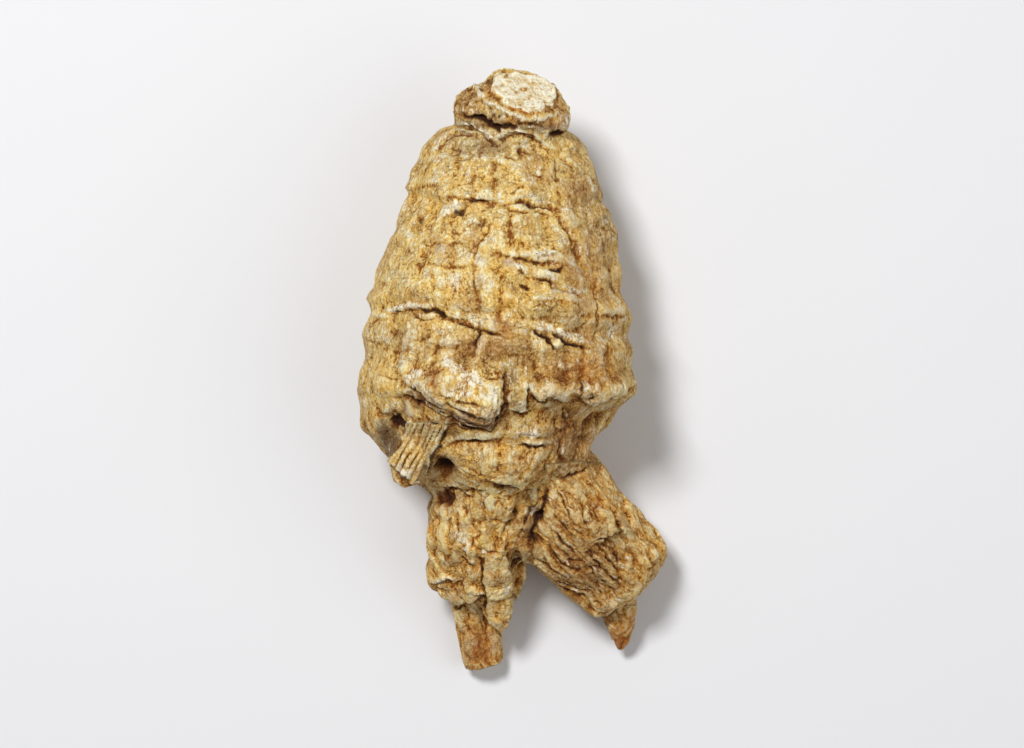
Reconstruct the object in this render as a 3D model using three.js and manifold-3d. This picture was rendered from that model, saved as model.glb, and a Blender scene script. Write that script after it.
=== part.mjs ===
// A dried ginseng root, one solid, in millimetres with +Z up. It lies on its back: the neck points along
// +Y, the legs along -Y, and the face with the broken side root looks up. Every size below is measured
// from the foot of the root (y = 0), from the trunk's axis (x = 0) and from the surface that it rests on
// (z = 0). The finished solid is then moved so that the origin is at the bottom centre of its box.
import * as THREE from "three";
import { ImprovedNoise } from "three/addons/math/ImprovedNoise.js";
import { mergeVertices } from "three/addons/utils/BufferGeometryUtils.js";
import Module from "manifold-3d";

const wasm = await Module();
wasm.setup();

// ---- driving dimensions -------------------------------------------------------------------------

// The trunk and the main leg, from the foot to the shoulder: height, then how far the outline reaches to
// the left and to the right, and the levels of the back and of the front.
const TRUNK = [
  // y, left, right, back, front
  [6.5, -3.6, 0.6, 2.4, 7.0],
  [7.1, -4.9, 1.6, 1.3, 8.6],
  [8.6, -6.2, 2.2, 0.8, 10.2],
  [10.8, -6.7, 2.6, 1.2, 11.8],
  [13.0, -6.7, 3.1, 1.9, 13.2],
  [15.5, -6.5, 4.0, 2.5, 14.6],
  [17.6, -6.7, 5.3, 2.6, 16.3],
  [19.1, -7.6, 6.4, 2.3, 18.1],
  [21.0, -9.8, 8.2, 1.8, 19.9],
  [23.0, -12.3, 10.0, 1.2, 21.4],
  [25.2, -13.8, 11.3, 0.6, 22.6],
  [26.8, -14.1, 12.5, 0.2, 23.3],
  [28.4, -14.1, 13.4, 0.0, 23.8],
  [31.5, -13.5, 13.6, -0.3, 24.3],
  [36.0, -13.1, 13.5, -0.4, 24.0],
  [40.0, -12.1, 12.9, -0.4, 23.1],
  [44.3, -10.6, 12.1, -0.1, 21.9],
  [48.3, -9.2, 10.9, 0.9, 20.6],
  [51.6, -8.0, 9.9, 2.6, 19.2],
  [53.6, -6.9, 8.7, 4.0, 18.0],
  [55.0, -5.6, 7.1, 5.6, 16.7],
  [55.9, -4.0, 5.4, 7.2, 15.2],
  [56.3, -2.4, 3.8, 8.8, 13.6],
];
const TRUNK_ROW = 0.95; // millimetres between rows of vertices
const TRUNK_AROUND = 60; // vertices in a row

// The annular folds, where the root drew in as it shrank, from the top down: height, depth, half width,
// and how much higher than that the ring runs on the right side, and lower on the left.
const FOLDS = [
  [52.6, 0.45, 0.7, -0.2],
  [50.2, 0.35, 0.7, 0.3],
  [47.6, 0.8, 0.8, -0.5],
  [44.9, 0.4, 0.7, 0.4],
  [42.3, 0.55, 0.8, -0.8],
  [39.4, 0.5, 0.7, -0.6],
  [35.6, 0.9, 0.9, -1.3],
  [31.9, 0.5, 0.8, -0.5],
  [27.2, 0.6, 0.9, 0.2],
  [23.5, 0.7, 0.8, 0.2],
  [18.6, 1.0, 0.9, 0.3],
  [15.0, 0.35, 0.7, -0.4],
  [11.6, 0.4, 0.8, -0.6],
];

// Lumps and hollows on the upper face (face 1) and on the back (face -1): place, reach each way, rise.
const LUMPS = [
  // The scarred boss of a side root that withered, with a step below it.
  { face: 1, x: -4.0, y: 29.6, reachX: 4.8, reachY: 2.2, rise: 1.0 },
  { face: 1, x: -1.8, y: 27.0, reachX: 3.2, reachY: 1.5, rise: 1.1 },
  { face: 1, x: 2.0, y: 28.3, reachX: 1.3, reachY: 2.2, rise: 0.6 },
  // The hollow between the boss and the broken side root, and the one below it.
  { face: 1, x: -10.2, y: 25.2, reachX: 1.3, reachY: 0.9, rise: -1.5 },
  { face: 1, x: -5.6, y: 20.4, reachX: 1.6, reachY: 1.2, rise: -1.6 },
  // The cuff above the leg, and the ridge that runs down the leg to the small nub.
  { face: 1, x: 0.6, y: 21.3, reachX: 4.2, reachY: 1.7, rise: 0.9 },
  { face: 1, x: 0.2, y: 11.0, reachX: 1.4, reachY: 3.4, rise: 0.9 },
  { face: 1, x: -4.4, y: 13.5, reachX: 2.0, reachY: 3.4, rise: 0.7 },
  { face: 1, x: -6.0, y: 8.9, reachX: 1.5, reachY: 0.8, rise: 0.8 },
  // The folded shelf at the lower right, which overhangs the root of the other leg.
  { face: 1, x: 6.2, y: 29.0, reachX: 2.6, reachY: 1.1, rise: 0.7 },
  { face: 1, x: 11.6, y: 28.9, reachX: 2.8, reachY: 1.2, rise: 0.8 },
  { face: 1, x: 6.4, y: 25.9, reachX: 3.2, reachY: 1.3, rise: -0.9 },
  { face: 1, x: 10.4, y: 25.6, reachX: 2.2, reachY: 1.5, rise: -1.1 },
  // The fold across the root of the other leg, and a knot near its end.
  { face: 1, x: 10.2, y: 15.6, reachX: 2.2, reachY: 1.2, rise: 0.9 },
  { face: 1, x: 15.4, y: 11.2, reachX: 1.8, reachY: 1.4, rise: 0.6 },
  { face: 1, x: 9.0, y: 10.6, reachX: 3.2, reachY: 0.9, rise: 0.5 },
  // Swellings of the crown and of the waist.
  { face: 1, x: 7.5, y: 48.6, reachX: 2.6, reachY: 3.0, rise: 0.6 },
  { face: 1, x: -6.8, y: 40.8, reachX: 3.2, reachY: 3.0, rise: 0.5 },
  { face: 1, x: 7.2, y: 37.6, reachX: 3.4, reachY: 1.4, rise: 0.6 },
  // Scars of side roots on the back.
  { face: -1, x: -6.5, y: 45.5, reachX: 2.0, reachY: 1.4, rise: 0.9 },
  { face: -1, x: 7.0, y: 24.5, reachX: 2.6, reachY: 1.6, rise: 1.2 },
  { face: -1, x: -7.4, y: 25.6, reachX: 2.0, reachY: 1.8, rise: 1.0 },
  { face: -1, x: 9.5, y: 38.5, reachX: 2.4, reachY: 1.6, rise: 0.8 },
  { face: -1, x: -4.2, y: 13.0, reachX: 1.8, reachY: 2.6, rise: 0.7 },
];

// Everything that grows out of the trunk, each along a line of stations from its root to its end: the
// point, and half the width across and half the depth. Each ends in a flat cut or, where its last station
// is small, in a point.
const LIMBS = {
  secondLeg: {
    stations: [
      [1.4, 22.4, 10.4, 5.2, 5.8],
      [5.0, 17.8, 9.2, 6.1, 6.1],
      [8.2, 14.4, 7.4, 5.6, 5.7],
      [11.2, 11.6, 5.8, 5.3, 4.9],
      [13.2, 9.8, 4.9, 5.2, 4.4],
      [14.2, 8.9, 4.6, 4.4, 3.8],
      [14.9, 8.2, 4.5, 2.7, 2.4],
    ],
    around: 34,
    rows: 22,
    furrows: 0.6,
  },
  spur: {
    stations: [
      [12.5, 8.6, 4.5, 1.9, 1.9],
      [12.6, 6.6, 4.1, 1.95, 1.8],
      [12.8, 4.4, 3.3, 1.5, 1.4],
      [12.9, 2.7, 2.6, 0.85, 0.85],
      [12.8, 1.5, 2.1, 0.3, 0.35],
    ],
    around: 14,
    rows: 8,
    furrows: 0.1,
  },
  brokenSideRoot: {
    stations: [
      [-6.6, 27.4, 15.4, 2.8, 3.2],
      [-7.4, 25.2, 16.7, 2.8, 2.9],
      [-8.2, 22.9, 17.1, 2.5, 2.5],
      [-8.8, 21.0, 16.7, 1.9, 2.1],
      [-9.1, 19.4, 16.1, 1.35, 1.6],
    ],
    around: 18,
    rows: 11,
    furrows: 0.3,
  },
  cutTip: {
    stations: [
      [-2.5, 9.2, 5.2, 2.3, 2.4],
      [-2.3, 5.6, 3.4, 2.2, 2.1],
      [-1.7, 2.4, 2.3, 2.25, 2.1],
      [-1.1, 0.1, 1.9, 2.05, 1.9],
    ],
    around: 18,
    rows: 10,
    furrows: 0.15,
  },
  nub: {
    stations: [
      [-0.4, 9.4, 8.2, 1.9, 1.8],
      [0.0, 7.0, 6.9, 1.65, 1.5],
      [0.4, 5.3, 6.1, 1.35, 1.2],
      [0.6, 4.2, 5.7, 0.5, 0.5],
    ],
    around: 12,
    rows: 7,
    furrows: 0.08,
  },
  neck: {
    stations: [
      [1.6, 53.0, 11.0, 3.6, 3.6],
      [1.9, 54.8, 12.8, 3.9, 3.7],
      [2.2, 56.1, 14.1, 4.8, 4.3],
      [2.5, 57.2, 15.2, 5.0, 4.4],
      [2.8, 58.2, 16.2, 4.3, 3.8],
      [3.0, 58.7, 16.7, 3.3, 3.1],
    ],
    around: 34,
    rows: 13,
    furrows: 0.4,
  },
  oldStemScar: {
    stations: [
      [0.2, 54.2, 12.2, 2.6, 2.4],
      [-1.2, 55.9, 13.9, 2.9, 2.7],
      [-1.9, 57.4, 15.1, 2.6, 2.5],
      [-2.3, 58.5, 15.9, 1.9, 1.8],
    ],
    around: 16,
    rows: 8,
    furrows: 0.3,
  },
};

// The cup of the old stem scar, and the small hole beside the broken side root.
const HOLLOWS = [
  { at: [-1.5, 59.9, 16.4], radius: 1.5 },
  { at: [-10.6, 25.3, 18.9], radius: 0.95 },
];

const COLOUR = 0xb8935a;
const ROUGHNESS = 0.9;

// ---- relief -------------------------------------------------------------------------------------

const FURROW_TWIST = 0.02; // radians for each millimetre
const FURROW_RIDGES = 1.3; // the parts of the furrows' depth: ridges, the level between them, creases
const FURROW_LEVEL = 0.5;
const FURROW_CREASES = 1.9;
const BODY_FURROWS = 0.34; // the furrows' depth, in millimetres
const LEG_FURROWS = 0.62;
const LEG_TOP = 24; // the heights where the body's furrows start to turn into the leg's, and where they have
const LEG_FULL = 16;
const FULL_RELIEF_WIDTH = 2; // a limb thinner than this, each way from its axis, is smoother
const SWELLING = 0.7; // millimetres
const FOLD_STRENGTH = 0.75; // a fold's mean strength round the trunk, and how far it strays from it
const FOLD_UNEVENNESS = 0.9;
const ROLL_RISE = 0.35; // the roll above a fold: its rise as a share of the fold's depth, and how many half
const ROLL_OFFSET = 1.6; // widths above the fold it lies
const RING_WANDER = 1.3; // millimetres, up and down
const LEVEL_END = 6; // the rings lie level at the trunk's ends, and bend freely this far from them

// Smooth noises round a limb: `lobes` sets how many ridges go round, `stretch` how fast they change
// lengthways.
const NOISES = {
  ridges: { lobes: 4.2, stretch: 0.1, seed: 3.7 },
  creases: { lobes: 2.6, stretch: 0.13, seed: 8.1 },
  swellings: { lobes: 1.5, stretch: 0.13, seed: 5.3 },
  foldStrength: { lobes: 1.3, stretch: 1, seed: 7.3 },
  ringWander: { lobes: 1.7, stretch: 0.16, seed: 1.9 },
};

const perlin = new ImprovedNoise();

function ringNoise({ lobes, stretch, seed }, angle, along) {
  return perlin.noise(
    Math.cos(angle) * lobes + seed,
    along * stretch + seed,
    Math.sin(angle) * lobes - seed,
  );
}

const bell = (distance) => Math.exp(-distance * distance);

// Long furrows and slow swellings, in millimetres, that any limb has.
function furrows(angle, along, depth) {
  const twisted = angle + FURROW_TWIST * along;
  const ridges = FURROW_RIDGES * ringNoise(NOISES.ridges, twisted, along);
  const creases = FURROW_CREASES * Math.abs(ringNoise(NOISES.creases, twisted, along));
  return depth * (ridges + FURROW_LEVEL - creases);
}

function lumpRise(angle, x, y) {
  const face = Math.sign(Math.sin(angle));
  let rise = 0;
  for (const lump of LUMPS) {
    if (lump.face !== face) continue;
    rise += lump.rise * bell(Math.hypot((x - lump.x) / lump.reachX, (y - lump.y) / lump.reachY));
  }
  return rise;
}

// The annular folds at one place of the trunk. `ring` is the height there before the rings were bent.
function foldRise(angle, ring) {
  let rise = 0;
  for (const [height, depth, halfWidth] of FOLDS) {
    const strength = FOLD_STRENGTH + FOLD_UNEVENNESS * ringNoise(NOISES.foldStrength, angle, height);
    const offset = (ring - height) / halfWidth;
    rise -= depth * Math.max(0, strength) * bell(offset);
    rise += ROLL_RISE * depth * bell(offset - ROLL_OFFSET);
  }
  return rise;
}

// How far the trunk's skin stands proud of its plain outline at one place, in millimetres.
function trunkRelief(angle, ring, x, y) {
  const legShare = THREE.MathUtils.smoothstep(-y, -LEG_TOP, -LEG_FULL);
  const depth = THREE.MathUtils.lerp(BODY_FURROWS, LEG_FURROWS, legShare);
  const swelling = SWELLING * ringNoise(NOISES.swellings, angle, y);
  return furrows(angle, y, depth) + swelling + lumpRise(angle, x, y) + foldRise(angle, ring);
}

// How far a ring of the trunk strays from level: it slants, and it wanders up and down.
function ringBend(angle, ring, slant) {
  const toFoot = ring - TRUNK[0][0];
  const toShoulder = TRUNK[TRUNK.length - 1][0] - ring;
  const freedom = THREE.MathUtils.smoothstep(Math.min(toFoot, toShoulder), 0, LEVEL_END);
  return freedom * (slant * Math.cos(angle) + RING_WANDER * ringNoise(NOISES.ringWander, angle, ring));
}

// ---- surfaces -----------------------------------------------------------------------------------

const WELD = 1e-4; // millimetres
const BALL_AROUND = 14;
const BALL_ROWS = 10;
const GROUND_SIDE = 200;

// A closed cylinder of unit radius whose vertices are carried to `place(turn, share, out)`: the angle
// round the axis from +X towards +Z, the share of the length from the bottom, and 0 on the axis or 1 on
// the skin.
function carriedCylinder(around, rows, place) {
  const geometry = new THREE.CylinderGeometry(1, 1, 1, around, rows);
  geometry.deleteAttribute("normal");
  geometry.deleteAttribute("uv");
  const position = geometry.getAttribute("position");
  const from = new THREE.Vector3();
  for (let i = 0; i < position.count; i++) {
    from.fromBufferAttribute(position, i);
    const out = Math.round(Math.hypot(from.x, from.z));
    const carried = place(Math.atan2(from.z, from.x), from.y + 0.5, out);
    position.setXYZ(i, carried.x, carried.y, carried.z);
  }
  return mergeVertices(geometry, WELD);
}

// Smooth values between rows of numbers: each row is a position, then what holds there.
function interpolated(rows) {
  const positions = rows.map((row) => row[0]);
  const values = rows.flatMap((row) => row.slice(1));
  const spline = new THREE.CubicInterpolant(positions, values, rows[0].length - 1);
  return (at) => Array.from(spline.evaluate(at));
}

function trunkGeometry() {
  const outline = interpolated(TRUNK);
  const slant = interpolated(FOLDS.map(([height, , , slope]) => [height, slope]).reverse());
  const foot = TRUNK[0][0];
  const height = TRUNK[TRUNK.length - 1][0] - foot;
  return carriedCylinder(TRUNK_AROUND, Math.round(height / TRUNK_ROW), (angle, share, out) => {
    const ring = foot + share * height;
    const y = ring + out * ringBend(angle, ring, slant(ring)[0]);
    const [left, right, back, front] = outline(y);
    const axisX = (left + right) / 2;
    const axisZ = (back + front) / 2;
    const x = axisX + (out * Math.cos(angle) * (right - left)) / 2;
    const z = axisZ + (out * Math.sin(angle) * (front - back)) / 2;
    const rise = out * trunkRelief(angle, ring, x, y);
    return new THREE.Vector3(x + rise * Math.cos(angle), y, z + rise * Math.sin(angle));
  });
}

function limbGeometry({ stations, around, rows, furrows: depth }) {
  const line = new THREE.CatmullRomCurve3(
    stations.map(([x, y, z]) => new THREE.Vector3(x, y, z)).reverse(),
  );
  const length = line.getLength();
  const size = interpolated(
    stations.map((row, i) => [1 - i / (stations.length - 1), row[3], row[4]]).reverse(),
  );
  return carriedCylinder(around, rows, (angle, share, out) => {
    const centre = line.getPoint(share);
    const along = line.getTangent(share);
    const up = new THREE.Vector3(0, 0, 1).addScaledVector(along, -along.z).normalize();
    const side = new THREE.Vector3().crossVectors(along, up);
    const [halfWidth, halfDepth] = size(share);
    const radial = side
      .clone()
      .multiplyScalar(Math.cos(angle) * halfWidth)
      .addScaledVector(up, Math.sin(angle) * halfDepth);
    const skin = centre.clone().add(radial);
    const slenderness = Math.min(1, halfWidth / FULL_RELIEF_WIDTH);
    const rise =
      slenderness * furrows(angle, share * length, depth) + lumpRise(angle, skin.x, skin.y);
    return centre.addScaledVector(radial, out * (1 + rise / radial.length()));
  });
}

// ---- solids -------------------------------------------------------------------------------------

function solidOf(geometry) {
  return new wasm.Manifold(
    new wasm.Mesh({
      numProp: 3,
      vertProperties: new Float32Array(geometry.getAttribute("position").array),
      triVerts: new Uint32Array(geometry.index.array),
    }),
  );
}

function geometryOf(solid) {
  const mesh = solid.getMesh();
  const geometry = new THREE.BufferGeometry();
  geometry.setAttribute("position", new THREE.BufferAttribute(mesh.vertProperties, 3));
  geometry.setIndex(new THREE.BufferAttribute(mesh.triVerts, 1));
  return geometry;
}

function ball({ at, radius }) {
  const geometry = new THREE.SphereGeometry(radius, BALL_AROUND, BALL_ROWS).translate(...at);
  geometry.deleteAttribute("normal");
  geometry.deleteAttribute("uv");
  return solidOf(mergeVertices(geometry, WELD));
}

// What lies below z = 0: taking it away leaves the small flats that the root rests on.
function ground() {
  const geometry = new THREE.BoxGeometry(GROUND_SIDE, GROUND_SIDE, GROUND_SIDE);
  geometry.translate(0, 0, -GROUND_SIDE / 2);
  geometry.deleteAttribute("normal");
  geometry.deleteAttribute("uv");
  return solidOf(mergeVertices(geometry, WELD));
}

function rootGeometry() {
  let root = solidOf(trunkGeometry());
  for (const limb of Object.values(LIMBS)) root = root.add(solidOf(limbGeometry(limb)));
  for (const hollow of HOLLOWS) root = root.subtract(ball(hollow));
  root = root.subtract(ground());
  const geometry = geometryOf(root);
  geometry.computeBoundingBox();
  const { min, max } = geometry.boundingBox;
  return geometry.translate(-(min.x + max.x) / 2, -(min.y + max.y) / 2, -min.z);
}

const ginsengRoot = new THREE.Mesh(
  rootGeometry(),
  new THREE.MeshStandardMaterial({ color: COLOUR, roughness: ROUGHNESS, metalness: 0 }),
);
ginsengRoot.name = "ginseng_root";

export default new THREE.Group().add(ginsengRoot);
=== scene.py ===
"""The looks of the dried ginseng root: its wrinkled skin, its cut and broken ends, the studio and the camera.

Lengths are in millimetres, in the root's own coordinates: x across from the trunk's axis, y up the root from
its foot, z up from the surface it lies on. `from_frame` ties them to the frame's metres.
"""
import itertools
from types import SimpleNamespace

import bpy
import numpy as np
from mathutils import Matrix, Vector


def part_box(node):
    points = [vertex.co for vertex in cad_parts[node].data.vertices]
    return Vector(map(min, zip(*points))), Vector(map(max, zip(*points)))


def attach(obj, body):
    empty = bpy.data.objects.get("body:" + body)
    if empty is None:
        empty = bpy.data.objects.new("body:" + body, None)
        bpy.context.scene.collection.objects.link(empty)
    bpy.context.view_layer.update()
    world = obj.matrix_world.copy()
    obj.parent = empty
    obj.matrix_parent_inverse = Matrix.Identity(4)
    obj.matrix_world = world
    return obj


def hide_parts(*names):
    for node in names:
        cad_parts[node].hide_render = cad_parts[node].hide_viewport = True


# ---- sizes ----

MM = 0.001
BOX_CORNER = (-14.41, -0.48)  # where the low corner of the root's box lies in its own x and y
VOXEL = 0.16
ROUNDING = 36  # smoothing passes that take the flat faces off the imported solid
TRIANGLES = 194000  # what the finished skin keeps, most where it is most wrinkled
SMALL_FORMS, BROAD_FORMS = 22, 110  # blurring passes that level the small and the broad forms
SMALL_GAIN, BROAD_GAIN = 0.3, 2.7  # how strongly the skin's tones follow them, darker in the hollows and lighter on the crests: partly the skin's own, partly painted shade and highlight

# The side limbs, which the skin's grain follows: start, end, radius at the start and at the end.
LIMBS = {
    "second_leg": ((1.4, 22.4, 10.4), (14.9, 8.2, 4.5), 5.6, 4.9),
    "main_leg": ((-0.6, 20, 9.6), (-2.6, 6.6, 4.6), 6.6, 4.2),
    "spur": ((12.5, 7.6, 4.3), (12.8, 1.5, 2.1), 2, 0.7),
    "cut_tip": ((-2.4, 7.4, 4.3), (-1.1, 0.1, 1.9), 2.2, 2.1),
    "nub": ((-0.2, 8.4, 7.6), (0.6, 4.2, 5.7), 1.8, 1.1),
    "side_root": ((-4.8, 27.4, 15.4), (-9.1, 19.4, 16.1), 2.9, 1.5),
}
CUT_ENDS = {"cut_tip": (1.9, 0.25), "side_root": (1.3, 0.35)}  # radius of the cut and how deep it shows
RING_PITCH = 2.15  # from one ring of the trunk to the next
LEGS_BELOW = (17, 23)  # the heights between which the trunk's wrinkles give way to the legs'
LEG_TONES_BELOW = (19, 27)
WAIST_ABOVE = (33, 38)  # where the trunk's wrinkles become a little lower
CROWN_ABOVE = (43, 48)
CUFF = 21.2  # the height of the pleated cuff under the belly
NECK_FOOT = 56.3
CREST, CREST_CUT = 25.3, 0.6  # the height above which the skin is lowered, and by what share
EYE = (1.6, 30.3, 445)  # from where the drawn marks below lie at the places they are given
EYE_PLANE = 12

# The skin's pleats: zone, height, widths along the grain's three directions, seed, and where they differ
# from the rest, the softness of the crests and the level that counts as flat.
PLEATS = [
    ("trunk", 0.27, (2.6, 7.5, 2.6), 21, 1.1, 0.4),
    ("trunk", 0.08, (2.4, 1.1, 2.4), 22),
    ("crown", 0.15, (1.6, 5, 1.6), 27),
    ("legs", 0.34, (1.7, 6.5, 1.7), 23),
    ("legs", 0.19, (0.7, 3.2, 0.7), 30),
    ("whole", 0.04, (0.55, 1.8, 0.55), 25),
    ("whole", 0.04, (1.3, 0.5, 1.3), 26),
    ("cuff", 0.18, (0.8, 4.5, 0.8), 29),
]

# The camera and the lamps, in metres: a lamp's place, width and power.
CAMERA_HEIGHT, LENS = 0.445, 150
LAMPS = {"key": ((-0.13, 0.17, 0.43), 0.1, 1.85), "fill": ((0.3, -0.06, 0.36), 0.4, 0.6)}
SKY_STRENGTH = 0.24
FLOOR_REACH = 3

# ---- colours, as sRGB numbers ----

# The skin in its hollows, on its slopes and on its crests; the darker hollows are partly painted shade and
# the lighter crests partly painted highlight.
BODY = (0x8E5014, 0xF2D280, 0xFFFBDA)
LEG = (0x7A3E0C, 0xE9B964, 0xFCEBB2)
# The greyer and the browner tones, each partly the skin's own and partly painted shade.
GREY_AND_SHADE_TONES = (0x54402A, 0x9E8C68, 0xDCCDA6)
BROWN_AND_SHADE_TONES = (0x522705, 0xAE7533, 0xDFB774)
HONEY, DUN = 0xF0D080, 0xC4A07A  # the broad clouds
CREAM, ASH = 0xFFF0BC, 0xE0D8D8  # the small tints
LINE, SPLIT, FLECK = 0x84460C, 0x5E3A18, 0xFFF8E0
# The second of these is the tint of the painted shade, laid on by multiplying.
ORANGE, PAINTED_SHADE_TINT = 0xA65A1A, 0x9C8468
EDGE_AND_HIGHLIGHT = (0xC09A62, 0xFDF6DE)  # light-coloured edges, partly painted highlight, in their hollows and on their crests
CRACK_AND_SHADOW = (0x63350D, 0x280F03)  # cracks and painted shadow lines, at their rims and deep inside
PITH_RING, PITH_SPECK, PITH = 0xA0662A, 0xCDA468, (0xE6CC94, 0xFFF8DE)
FLOOR = 0xE2E2E4

# ---- what is drawn on the face that looks up ----

OUTLINES = {
    "cut_face": [
        (-0.1, 60.4), (1, 60.7), (3.1, 60.5), (4.5, 60.3), (5.8, 59.8), (6, 58.7), (5.7, 57.4), (4.4, 56.7),
        (3.1, 56.5), (1.7, 56.9), (0.3, 57.8), (-0.3, 58.8),
    ],
    "boss": [
        (-9.4, 28.6), (-8.6, 30.6), (-6.6, 31.4), (-4.7, 32.2), (-3.4, 31.2), (-1.4, 30.8), (0.75, 30.2),
        (0.75, 26.9), (0.1, 25.8), (-0.8, 24.7), (-2.9, 25.6), (-4.7, 26.3), (-5.9, 26.9), (-7.5, 27.8),
    ],
    "tile": [(1.3, 31.2), (3, 31), (3.1, 26.4), (1.2, 26.7)],
    "nub": [
        (-1.3, 12.1), (1.2, 12.2), (1.2, 10), (1.3, 8.2), (2.3, 7.2), (2.3, 4), (0.4, 4), (-0.6, 5.4),
        (-0.9, 7.4), (-1.2, 9.6),
    ],
    "wedge": [
        (-9.2, 25.4), (-4.9, 25.9), (-5.4, 23.6), (-6.7, 21.5), (-7.9, 19.6), (-8.6, 19.1), (-10.4, 21.2),
        (-9.6, 23.4),
    ],
    "facet": [(-12.3, 25.9), (-10.9, 26), (-9.4, 24.2), (-9.9, 22.4), (-10.7, 21.5), (-11.6, 22.8)],
}
# The outlines that stand up as blocks: rise at the lower and at the upper edge, how many steps the edge
# has, and how wide each step is. Just outside each step's edge lies a dark line, partly cracked bark and
# partly painted shadow.
BLOCKS = {
    "boss": (1.8, 0, 4, 0.42),
    "tile": (0.4, 0.1, 1, 0.3),
    "nub": (0.35, 0.45, 1, 0.3),
    "wedge": (1, 0.2, 1, 0.3),
}
WEDGE_ALONG = (0.48, 0.87)  # the way the broken side root's fibres run
FIBRE_PITCH = 0.52

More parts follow.
